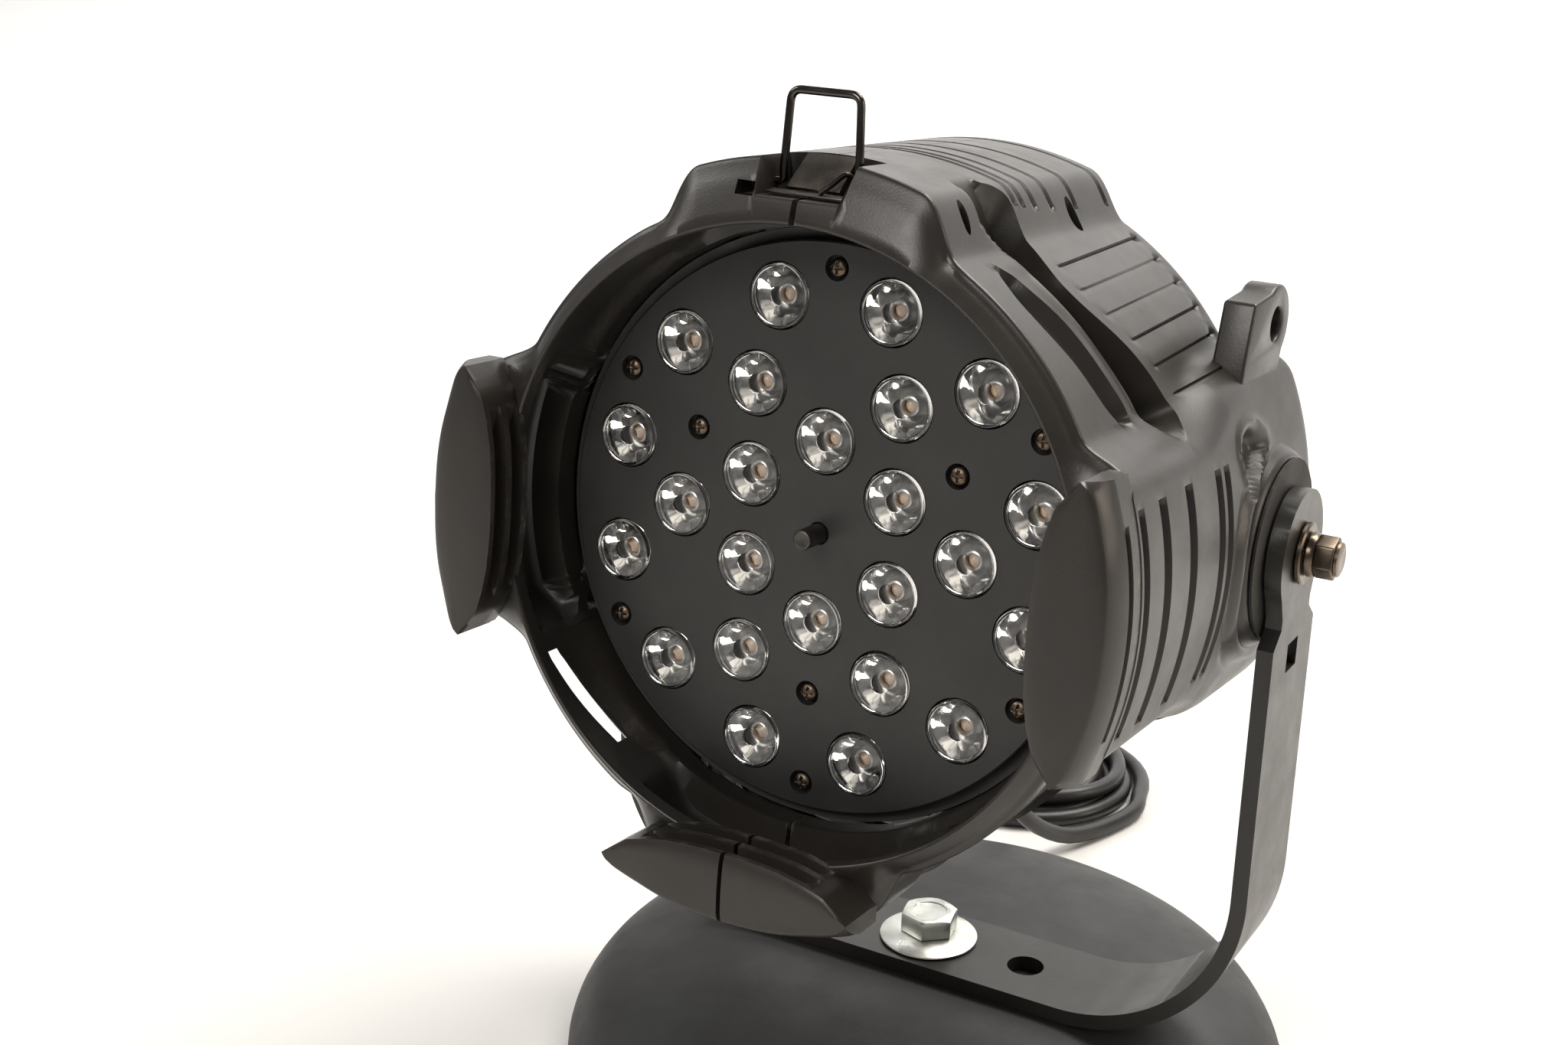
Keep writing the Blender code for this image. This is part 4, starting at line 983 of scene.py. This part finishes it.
def frame_pad(side, name, at_bottom):
    """A pad in front of the ring with blunt tips, stepped on its inside for the accessory frames."""
    bm = bmesh.new()
    sections = []
    steps = 48
    for k in range(steps + 1):
        s = (k / steps) if at_bottom else (2.0 * k / steps - 1.0)
        u = math.copysign(44.0 * abs(s) ** 0.85, s)
        far = abs(u)
        ring = math.sqrt(117.7**2 - u * u)
        lip = min(float(PAD_LIP(far)), ring - 0.4)
        root = float(np.interp(far, (0, 10, 20, 28, 35.5, 44), (92.0, 92.2, 93.0, 94.6, 96.8, 103.2)))
        slot = min(max(root, math.sqrt(100.5**2 - u * u)), lip - 0.2)
        swell = 1.1 * (1.0 - (far / 44.0) ** 2)
        rise = ring - lip
        width = lip - root
        channel = 2.0 * smooth((31.0 - far) / 1.2)
        floor = ring - channel
        profile = [(ring, -27.5), (ring, -34.6), (floor, -35.2), (floor, -37.4), (ring, -38.0)]
        profile += [(ring - 0.2 * rise, -41.5), (lip + 0.45 * rise, -44.6), (lip + 0.18 * rise, -46.4)]
        profile.append((lip, -47.2))
        for t in (0.04, 0.12, 0.3, 0.5, 0.7, 0.88, 0.96):
            crown = 0.5 * smooth(min(t, 1.0 - t) / 0.12) + 2.4 * swell * t * (1.0 - t)
            profile.append((lip - width * t, -47.3 - crown))
        profile += [(root, -47.2), (root, -44.9), (slot, -44.5), (slot, -39.6), (root, -39.2), (root, -36.3)]
        profile += [(slot, -35.9), (slot, -31.0), (root + 0.3, -30.6), (root + 0.5, -27.5)]
        if at_bottom:
            points = [(side * max(u, 0.75), y, -v) for v, y in profile]
        else:
            points = [(side * v, y, -u) for v, y in profile]
        sections.append([bm.verts.new(p) for p in points])
    count = len(sections[0])
    for one, two in zip(sections, sections[1:]):
        for k in range(count):
            n = (k + 1) % count
            bm.faces.new((one[k], one[n], two[n], two[k]))
    bm.faces.new(sections[0])
    bm.faces.new(sections[-1])
    return piece_from(bm, name, HEAD, 38.0)


def tilt_boss(side, name):
    """The round pad that the yoke arm is clamped against, with a rolled rim."""
    bm = bmesh.new()
    _, y, z = PIVOT_IN_HEAD
    outline = [
        (0, 110.0), (34.6, 110.0), (34.4, 113.2), (33.2, 114.6), (32.0, 116.6), (31.0, 117.8), (29.8, 118.2),
        (28.6, 117.9), (27.8, 117.3), (26.8, 117.1), (4.5, 117.1), (4.0, 116.0), (0, 116.0),
    ]
    lathe(bm, [(r, side * h) for r, h in outline], 72, (0, y, z), "X")
    return piece_from(bm, name, HEAD, 50.0)


def safety_lug():
    """A flat lug with an eye for the safety cable, on the right shoulder."""
    y, z = 107.5, 68.5
    tip = arc((y, z), 13.0, 125, -45, 18)
    outline = [(84.0, 77.5), *tip, (112.0, 44.0), (77.0, 44.0), (79.0, 58.0)]
    bm = bmesh.new()
    prism(bm, outline, 94.0, 105.0, "X")
    lug = piece_from(bm, "safety_lug", HEAD, 30.0)
    eye = bmesh.new()
    cylinder(eye, (100.0, y, z), 5.6, 30.0, "X", 40)
    cut(lug, piece_from(eye, "eye", HEAD))
    return add_bevel(lug, 1.1, 3, 35.0)


def make_housing():
    for side, word in ((1, "right"), (-1, "left")):
        shell = shell_half(side, f"housing_shell_{word}")
        dress(shell, M["housing"], "head", [f"housing_{word}"])
        pads = [frame_pad(side, f"side_pad_{word}", False), frame_pad(side, f"bottom_pad_{word}", True)]
        for piece in (*pads, tilt_boss(side, f"tilt_boss_{word}")):
            dress(piece, M["housing"], "head")
    dress(safety_lug(), M["housing"], "head")


# ---------------------------------------------------------------- lens plate and lenses


def ring_places(rings):
    places = []
    for radius, count, first in rings:
        for k in range(count):
            a = math.radians(first + 360.0 * k / count)
            places.append((radius * math.sin(a), radius * math.cos(a)))
    return places


def shared_copies(model, names_and_places, mat, stands_for=None):
    """Copies of a small piece drawn around its own origin in the head's frame, sharing one mesh."""
    mesh = model.data
    bpy.data.objects.remove(model)
    mesh.materials.clear()
    mesh.materials.append(mat)
    for k, (name, (x, y, z)) in enumerate(names_and_places):
        obj = bpy.data.objects.new(name, mesh)
        bpy.context.scene.collection.objects.link(obj)
        obj.matrix_world = HEAD @ Matrix.Translation((x, y, z)) @ HEAD.inverted()
        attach(obj, "head")
        if stands_for:
            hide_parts(stands_for[k])


def make_plate():
    bm = bmesh.new()
    lathe(bm, [(0, 2.5), (91.0, 2.5), (91.5, 2.0), (91.5, 0.5), (91.0, 0.0), (0, 0.0)], 144, axis="Y")
    plate = piece_from(bm, "lens_plate_disc", HEAD, 30.0)
    holes = bmesh.new()
    for x, z in ring_places(LENS_RINGS):
        cylinder(holes, (x, 1.0, z), 10.75, 10.0, "Y", 48)
    for x, z in ring_places(SCREW_RINGS):
        cylinder(holes, (x, 1.0, z), 4.1, 10.0, "Y", 24)
    cylinder(holes, (0, 1.0, 0), 3.7, 10.0, "Y", 24)
    cut(plate, piece_from(holes, "plate_holes", HEAD))
    add_bevel(plate, 0.3, 2, 40.0, 25.0)
    dress(plate, M["plate"], "head", ["lens_plate"])

    back = bmesh.new()
    lathe(back, [(0, 3.6), (90.0, 3.6), (90.0, 2.7), (0, 2.7)], 72, axis="Y")
    backing = piece_from(back, "plate_backing", HEAD)
    wells = bmesh.new()
    for x, z in ring_places(LENS_RINGS):
        cylinder(wells, (x, 3.0, z), 10.2, 6.0, "Y", 32)
    cut(backing, piece_from(wells, "backing_wells", HEAD))
    dress(backing, M["fan"], "head")
    # A black ring behind the gap round the plate's edge: painted shade for the dark seen through that gap.
    shade = bmesh.new()
    outline = [(88.5, 5.6), (88.5, 5.0), (92.4, 4.6), (95.2, 4.0), (95.4, 4.4), (95.2, 5.6)]
    ring_lathe(shade, outline, 96, axis="Y")
    dress(piece_from(shade, "plate_gap_painted_shade", HEAD), M["fan"], "head")


def make_screws():
    """Domed cross-head screws that share one mesh."""
    bm = bmesh.new()
    profile = [
        (0, -1.5), (1.2, -1.45), (2.2, -1.15), (2.9, -0.5), (3.1, 0.2), (3.1, 0.6), (1.5, 0.6), (1.5, 3.0),
        (0, 3.0),
    ]
    lathe(bm, profile, 28, axis="Y")
    screw = piece_from(bm, "plate_screw", HEAD, 40.0)
    cross = bmesh.new()
    box(cross, (-2.0, -2.2, -0.42), (2.0, -0.55, 0.42))
    one = piece_from(cross, "cross_one", HEAD)
    cross = bmesh.new()
    box(cross, (-0.42, -2.2, -2.0), (0.42, -0.55, 2.0))
    cut(screw, one, piece_from(cross, "cross_two", HEAD))
    places = ring_places(SCREW_RINGS)
    named = [(f"plate_screw_{k + 1}", (x, 1.2, z)) for k, (x, z) in enumerate(places)]
    shared_copies(screw, named, M["bronze"])


def lens_piece(word, profile, steps, angle, mat, closed=True, stand_in=False):
    """One turned piece of a lens, repeated at each of the lenses."""
    places = ring_places(LENS_RINGS)
    nodes = [f"lens_{k + 1:02d}" for k in range(len(places))]
    bm = bmesh.new()
    if closed:
        profile = [*profile, profile[0]]
    lathe(bm, profile, steps, axis="Y")
    model = piece_from(bm, f"lens_{word}", HEAD, angle)
    named = [(f"{node}_{word}", (x, 0.0, z)) for node, (x, z) in zip(nodes, places)]
    shared_copies(model, named, mat, nodes if stand_in else None)


def make_lenses():
    """Each lens is a clear window with a raised rim, over a bright cone, a seat and a diode."""
    window = [
        (3.1, 0.9), (3.1, 0.0), (3.5, -0.3), (6.0, -0.42), (9.0, -0.45), (9.2, -0.95), (9.45, -1.15),
        (9.75, -1.1), (10.0, -0.7), (10.0, 0.9), (9.3, 0.8), (4.0, 0.7),
    ]
    lens_piece("collimator", window, 48, 35.0, M["lens"], stand_in=True)
    cone = [
        (9.35, 1.1), (8.8, 2.0), (7.9, 3.6), (6.8, 5.6), (5.6, 7.8), (4.4, 10.0), (4.0, 10.8), (4.6, 10.9),
        (5.9, 8.8), (8.2, 4.4), (9.8, 1.4),
    ]
    lens_piece("holder", cone, 48, 50.0, M["cone"])
    diode = [(0, 6.3), (1.2, 6.5), (2.0, 7.1), (2.5, 8.0), (2.5, 10.8), (0, 10.8)]
    lens_piece("diode", diode, 20, 50.0, M["diode"], closed=False)
    seat = [
        (2.7, 10.9), (2.6, 6.4), (2.8, 5.4), (3.1, 5.1), (3.45, 5.3), (3.6, 6.2), (3.3, 7.2), (3.4, 9.4),
        (4.0, 10.9),
    ]
    lens_piece("seat", seat, 24, 40.0, M["aluminium"])


def make_post():
    """The plain post at the middle of the plate, with a turned end."""
    bm = bmesh.new()
    profile = [
        (0, 12.6), (3.25, 12.6), (3.25, -10.3), (3.0, -10.8), (2.5, -11.0), (2.0, -10.8), (0.6, -10.9),
        (0, -10.6),
    ]
    lathe(bm, profile, 32, axis="Y")
    dress(piece_from(bm, "centre_post_turned", HEAD, 35.0), M["post"], "head", ["centre_post"])


# ---------------------------------------------------------------- accessory catch


def make_catch():
    """The sprung bail, and the folded sheet that it is pinned to in the notch."""
    y, z = -14.0, 109.2
    loop = [
        (-15.2, y, z), (-12.4, y, z), (-12.7, y, z + 4.0), (-11.6, y, z + 27.2), (11.6, y, z + 27.2),
        (12.7, y, z + 4.0), (12.4, y, z), (15.2, y, z),
    ]
    bm = bmesh.new()
    corners = [Vector(p) for p in loop]
    left_foot, right_foot = rounded_path(corners[:3], 1.2, 4), rounded_path(corners[5:], 1.2, 4)
    tube(bm, left_foot[:-1] + rounded_path(corners[2:6], 3.6, 8) + right_foot[1:], 1.3, 16)
    bail = piece_from(bm, "catch_bail_wire", HEAD, 60.0)
    dress(bail, M["wire"], "catch", ["catch_bail"])

    bm = bmesh.new()
    flap = [(-12.9, -24.0, 106.6), (12.9, -24.0, 106.6), (12.9, -19.5, 107.0), (-12.9, -19.5, 107.0)]
    rise = [(-9.0, -18.0, 107.9), (9.0, -18.0, 107.9), (8.2, -7.0, 117.4), (-8.2, -7.0, 117.4)]
    for corners, normal in ((flap, Vector((0, 0, 0.7))), (rise, Vector((0, -0.6, 0.6)))):
        low = [bm.verts.new(p) for p in corners]
        high = [bm.verts.new(Vector(p) + normal) for p in corners]
        bm.faces.new(low)
        bm.faces.new(high)
        for k in range(4):
            n = (k + 1) % 4
            bm.faces.new((low[k], low[n], high[n], high[k]))
    sheet = piece_from(bm, "catch_sheet", HEAD, 30.0)
    add_bevel(sheet, 0.22)
    dress(sheet, M["sheet"], "head", ["catch_bracket"])

    bm = bmesh.new()
    spring = [(11.9, -14.6, 112.0), (9.8, -17.2, 113.6), (7.2, -20.2, 110.6), (4.6, -22.6, 107.9)]
    tube(bm, catmull([Vector(p) for p in spring], 6), 0.9, 12)
    dress(piece_from(bm, "catch_spring_leg", HEAD, 60.0), M["wire"], "head")


# ---------------------------------------------------------------- yoke, bolts and base


def make_yoke():
    """The flat bar bent twice, with keyhole ends, square windows and round holes."""
    floor = BASE_HEIGHT + 0.3
    inner_x = YOKE_OUTER_X - YOKE_THICKNESS
    centre = (inner_x - YOKE_BEND, floor + YOKE_THICKNESS + YOKE_BEND)
    top = PIVOT_Z + YOKE_WIDTH / 2
    outer = [(0.0, floor), *arc(centre, YOKE_BEND + YOKE_THICKNESS, -90, 0, 30), (YOKE_OUTER_X, top)]
    inner = [(inner_x, top), *arc(centre, YOKE_BEND, 0, -90, 30), (0.0, floor + YOKE_THICKNESS)]
    left_outer = [(-x, z) for x, z in reversed(outer)][:-1]
    left_inner = [(-x, z) for x, z in reversed(inner)][1:]
    bm = bmesh.new()
    prism(bm, [*left_outer, *outer, *inner, *left_inner], -YOKE_WIDTH / 2, YOKE_WIDTH / 2, "Y")
    yoke = piece_from(bm, "yoke_bar", ROW, 30.0)

    half = YOKE_WIDTH / 2
    neck = PIVOT_Z - 19.0
    low, high = PIVOT_Z - 60.0, PIVOT_Z + 40.0
    right = [*arc((0.0, PIVOT_Z), half, 90, -33, 28), (14.5, neck), (14.5, neck - 3.5), (half, neck - 9.0)]
    tools = []
    for side in (1, -1):
        edge = [(side * y, z) for y, z in right]
        outline = [(0.0, high), *edge, (side * half, low), (side * 40.0, low), (side * 40.0, high)]
        bm = bmesh.new()
        prism(bm, outline, -140.0, 140.0, "X")
        tools.append(piece_from(bm, "trim", ROW))
    holes = bmesh.new()
    cylinder(holes, (0, 0, BASE_HEIGHT + 3), 6.3, 16, "Z", 40)
    for x in (-40.0, 40.0):
        cylinder(holes, (x, 0, BASE_HEIGHT + 3), 6.8, 16, "Z", 40)
    for x in (-123.0, 123.0):
        cylinder(holes, (x, 0, PIVOT_Z), 4.4, 16, "X", 32)
        box(holes, (x - 8, -5.3, PIVOT_Z - 40.5), (x + 8, 5.3, PIVOT_Z - 30.5))
    cut(yoke, *tools, piece_from(holes, "yoke_holes", ROW))
    add_bevel(yoke, 0.55, 3, 28.0)
    dress(yoke, M["yoke"], "yoke", ["yoke"])


def make_tilt_hardware():
    """The tilt bolts with their collars, and the washers under them."""
    _, y, z = PIVOT_IN_HEAD
    for side, word in ((1, "right"), (-1, "left")):
        bm = bmesh.new()
        profile = [(0, 128.5), (7.0, 128.5), (7.4, 128.8), (7.4, 130.6), (7.0, 131.2), (5.4, 131.3)]
        profile += [(5.4, 137.0), (5.8, 137.8), (5.6, 138.6), (5.0, 138.8), (0, 138.5)]
        lathe(bm, [(r, side * h) for r, h in profile], 32, (0, y, z), "X")
        collar = piece_from(bm, f"tilt_bolt_collar_{word}", HEAD, 35.0)
        bm = bmesh.new()
        cylinder(bm, (side * 134.3, y, z), 7.3, 6.4, "X", 6, turn=20)
        hexagon = piece_from(bm, f"tilt_bolt_head_{word}", HEAD, 30.0)
        add_bevel(hexagon, 0.6, 3)
        dress(collar, M["nickel"], "head")
        dress(hexagon, M["nickel"], "head", [f"tilt_bolt_{word}"])
        bm = bmesh.new()
        washer = [(4.5, 128.1), (9.7, 128.2), (10.3, 127.7), (10.3, 126.7), (9.8, 126.3), (4.5, 126.3)]
        ring_lathe(bm, [(r, side * h) for r, h in washer], 48, (0, y, z), "X")
        ring = piece_from(bm, f"tilt_washer_ring_{word}", HEAD, 35.0)
        dress(ring, M["nickel"], "head", [f"tilt_washer_{word}"])


def make_base():
    """The domed shell."""
    rim = [(58, 42), (70, 41.5), (82, 40.2), (101, 37), (116, 31.5), (126, 25), (132.4, 16), (135.3, 8)]
    dome = [tuple(p) for p in catmull([Vector(p) for p in (*rim, (136, 3))], 4)]
    outer = [(6.3, 42.0), (40.0, 42.0), *dome]
    inner = [(135.4, 2.8), (133.2, 3.0), (130.6, 14.0), (114.0, 29.0), (76.0, 37.5), (6.3, 38.5)]
    bm = bmesh.new()
    ring_lathe(bm, [*outer, *inner], 128)
    dress(piece_from(bm, "base_dome_shell", ROW, 50.0), M["base"], "base", ["base_dome"])


def make_base_bolt():
    """The dished washer on the yoke's floor bar, and the chamfered hexagon head on it."""
    top = BASE_HEIGHT + YOKE_THICKNESS + 0.6
    bm = bmesh.new()
    dish = [
        (6.3, 3.1), (10.4, 3.15), (12.0, 3.0), (15.0, 2.2), (17.6, 1.2), (18.3, 0.9), (18.4, 0.4),
        (18.0, 0.0), (6.3, 0.0),
    ]
    ring_lathe(bm, [(r, top + h) for r, h in dish], 72)
    dress(piece_from(bm, "base_washer_dished", ROW, 40.0), M["zinc"], "base", ["base_washer"])

    head_z = top + 3.2
    bm = bmesh.new()
    cylinder(bm, (0, 0, head_z + 3.9), 10.9, 7.4, "Z", 6, turn=12)
    bolt = piece_from(bm, "base_bolt_head", ROW, 30.0)
    bm = bmesh.new()
    chamfer = [(0, -1.0), (14.0, -1.0), (14.0, 5.4), (8.6, 8.1), (0, 8.1)]
    lathe(bm, [(r, head_z + h) for r, h in chamfer], 48)
    cut(bolt, piece_from(bm, "bolt_chamfer", ROW), operation="INTERSECT")
    bm = bmesh.new()
    dimple = [(0, 7.0), (6.4, 7.2), (6.9, 9.0), (0, 9.0)]
    lathe(bm, [(r, head_z + h) for r, h in dimple], 40)
    cut(bolt, piece_from(bm, "bolt_dimple", ROW))
    add_bevel(bolt, 0.3, 2)
    dress(bolt, M["zinc"], "base", ["base_bolt"])


# ---------------------------------------------------------------- rear of the head


def make_rear_cover():
    """The pressed cover with its fan grille and the openings for the fittings, and its screws."""
    bm = bmesh.new()
    profile = [
        (0, 104.3), (102.8, 104.3), (103.4, 104.9), (103.4, 107.2), (102.7, 107.9), (94.6, 107.9),
        (92.8, 108.3), (91.6, 109.2), (85.0, 112.9), (83.0, 114.3), (80.6, 115.0), (0, 115.0),
    ]
    lathe(bm, profile, 96, axis="Y")
    cover = piece_from(bm, "rear_cover_pan", HEAD, 30.0)
    hollow = bmesh.new()
    lathe(hollow, [(0, 103.0), (88.0, 103.0), (78.0, 112.6), (0, 112.6)], 64, axis="Y")
    holes = bmesh.new()
    for k in range(7):
        z = 62.0 - k * 9.0
        half = math.sqrt(38.0**2 - (z - 35.0) ** 2)
        outline = arc((half - 2.6, z), 2.6, -90, 90, 8) + arc((2.6 - half, z), 2.6, 90, 270, 8)
        prism(holes, outline, 108.0, 120.0, "Y")
    box(holes, (-36.4, 108.0, -34.4), (-3.6, 120.0, -19.6))
    for k in range(4):
        cylinder(holes, (9.0 + 10.0 * k, 114.0, -27.0), 3.2, 12, "Y", 24)
    for x in (-24.0, 24.0):
        cylinder(holes, (x, 114.0, -58.0), 11.4, 12, "Y", 40)
    cylinder(holes, (-54.0, 114.0, -40.0), 6.4, 12, "Y", 32)
    cut(cover, piece_from(hollow, "cover_hollow", HEAD), piece_from(holes, "cover_cuts", HEAD))
    add_bevel(cover, 0.35, 2, 40.0, 25.0)
    dress(cover, M["cover"], "head", ["rear_cover"])

    bm = bmesh.new()
    profile = [(0, 109.9), (1.3, 109.8), (2.4, 109.4), (2.8, 108.7), (2.8, 107.6), (0, 107.6)]
    for x, z in ring_places([(98.6, 6, 30.0)]):
        lathe(bm, profile, 24, (x, 0, z), "Y")
    dress(piece_from(bm, "cover_screws", HEAD, 35.0), M["bronze"], "head")


def make_rear_fittings():
    """The display's pane, and the two signal sockets with their contacts."""
    bm = bmesh.new()
    box(bm, (-36.0, 111.0, -34.0), (-4.0, 115.5, -20.0))
    window = piece_from(bm, "display_window_pane", HEAD)
    add_bevel(window, 0.6, 3)
    dress(window, M["window"], "head", ["display_window"])

    for name, x in (("signal_inlet", -24.0), ("signal_outlet", 24.0)):
        bm = bmesh.new()
        cup = [
            (0, 103.2), (8.6, 103.2), (8.6, 116.2), (9.2, 117.0), (12.4, 117.0), (13.0, 116.5), (13.0, 115.4),
            (11.0, 115.4), (11.0, 100.2), (0, 100.2),
        ]
        lathe(bm, cup, 40, (x, 0, -58.0), "Y")
        dress(piece_from(bm, f"{name}_shell", HEAD, 35.0), M["socket"], "head", [name])
        bm = bmesh.new()
        for k in range(3):
            a = math.radians(90.0 + 120.0 * k)
            spot = (x + 4.2 * math.cos(a), 0, -58.0 + 4.2 * math.sin(a))
            lathe(bm, [(0, 112.0), (0.7, 111.8), (1.1, 111.0), (1.1, 103.0), (0, 103.0)], 16, spot, "Y")
        dress(piece_from(bm, f"{name}_contacts", HEAD, 35.0), M["brass"], "head")


# ---------------------------------------------------------------- CAD pieces that stay


def dress_cad():
    """Materials for the CAD nodes whose shape is right as it is."""
    looks = {
        "base_weight": "iron",
        "base_foot_pad": "rubber",
        "led_board": "board",
        "heat_sink": "aluminium",
        "fan_frame": "fan",
        "fan_rotor": "fan",
        "power_supply": "steel",
        "friction_disc_left": "fibre",
        "friction_disc_right": "fibre",
        "menu_button_1": "button",
        "menu_button_2": "button",
        "menu_button_3": "button",
        "menu_button_4": "button",
    }
    for node, look in looks.items():
        obj = frame["nodes"][node]
        obj.data.materials.clear()
        obj.data.materials.append(M[look])


# ---------------------------------------------------------------- set and light


def make_set():
    """A pale floor that curves up into a backdrop far behind the object."""
    bm = bmesh.new()
    profile = [(-3.0, 0.0), (1.6, 0.0), (2.1, 0.06), (2.5, 0.25), (2.8, 0.6), (2.9, 1.1), (2.9, 3.2)]
    rows = [[bm.verts.new((x * 1000.0, y * 1000.0, z * 1000.0)) for x in (-4.0, 4.0)] for y, z in profile]
    for one, two in zip(rows, rows[1:]):
        bm.faces.new((one[0], one[1], two[1], two[0]))
    floor = piece_from(bm, "floor", ROW, 60.0)
    floor.data.materials.append(M["floor"])


def area_light(name, place, target, size, power, colour=(1.0, 1.0, 1.0)):
    light = bpy.data.lights.new(name, "AREA")
    light.shape = "RECTANGLE"
    light.size, light.size_y = size
    light.energy = power
    light.color = colour
    obj = bpy.data.objects.new(name, light)
    obj.location = place
    aim = Vector(target) - Vector(place)
    obj.rotation_euler = aim.to_track_quat("-Z", "Y").to_euler()
    bpy.context.scene.collection.objects.link(obj)


def make_light():
    middle = (0.0, 0.0, 0.2)
    area_light("overhead", (0.45, 0.8, 1.8), middle, (1.1, 0.9), 34.0, (1.0, 0.95, 0.88))
    area_light("right", (1.9, 0.5, 0.8), middle, (0.8, 1.0), 11.0, (1.0, 0.88, 0.74))
    area_light("left", (-1.4, -0.6, 1.3), middle, (0.5, 0.8), 9.0, (1.0, 0.97, 0.93))
    area_light("front", (-0.1, -1.7, 1.5), middle, (1.0, 0.7), 20.0, (1.0, 0.96, 0.91))
    area_light("backdrop", (-0.9, 1.3, 2.3), (-1.1, 2.9, 0.9), (4.4, 0.6), 95.0)
    world = bpy.data.worlds.new("studio")
    world.use_nodes = True
    background = world.node_tree.nodes["Background"]
    background.inputs["Color"].default_value = (1.0, 0.98, 0.96, 1.0)
    background.inputs["Strength"].default_value = 0.22
    bpy.context.scene.world = world
    bpy.context.scene.view_settings.view_transform = "Standard"


make_base()
make_base_bolt()
make_yoke()
make_housing()
make_plate()
make_screws()
make_lenses()
make_post()
make_catch()
make_tilt_hardware()
make_rear_cover()
make_rear_fittings()
dress_cad()
make_set()
make_light()
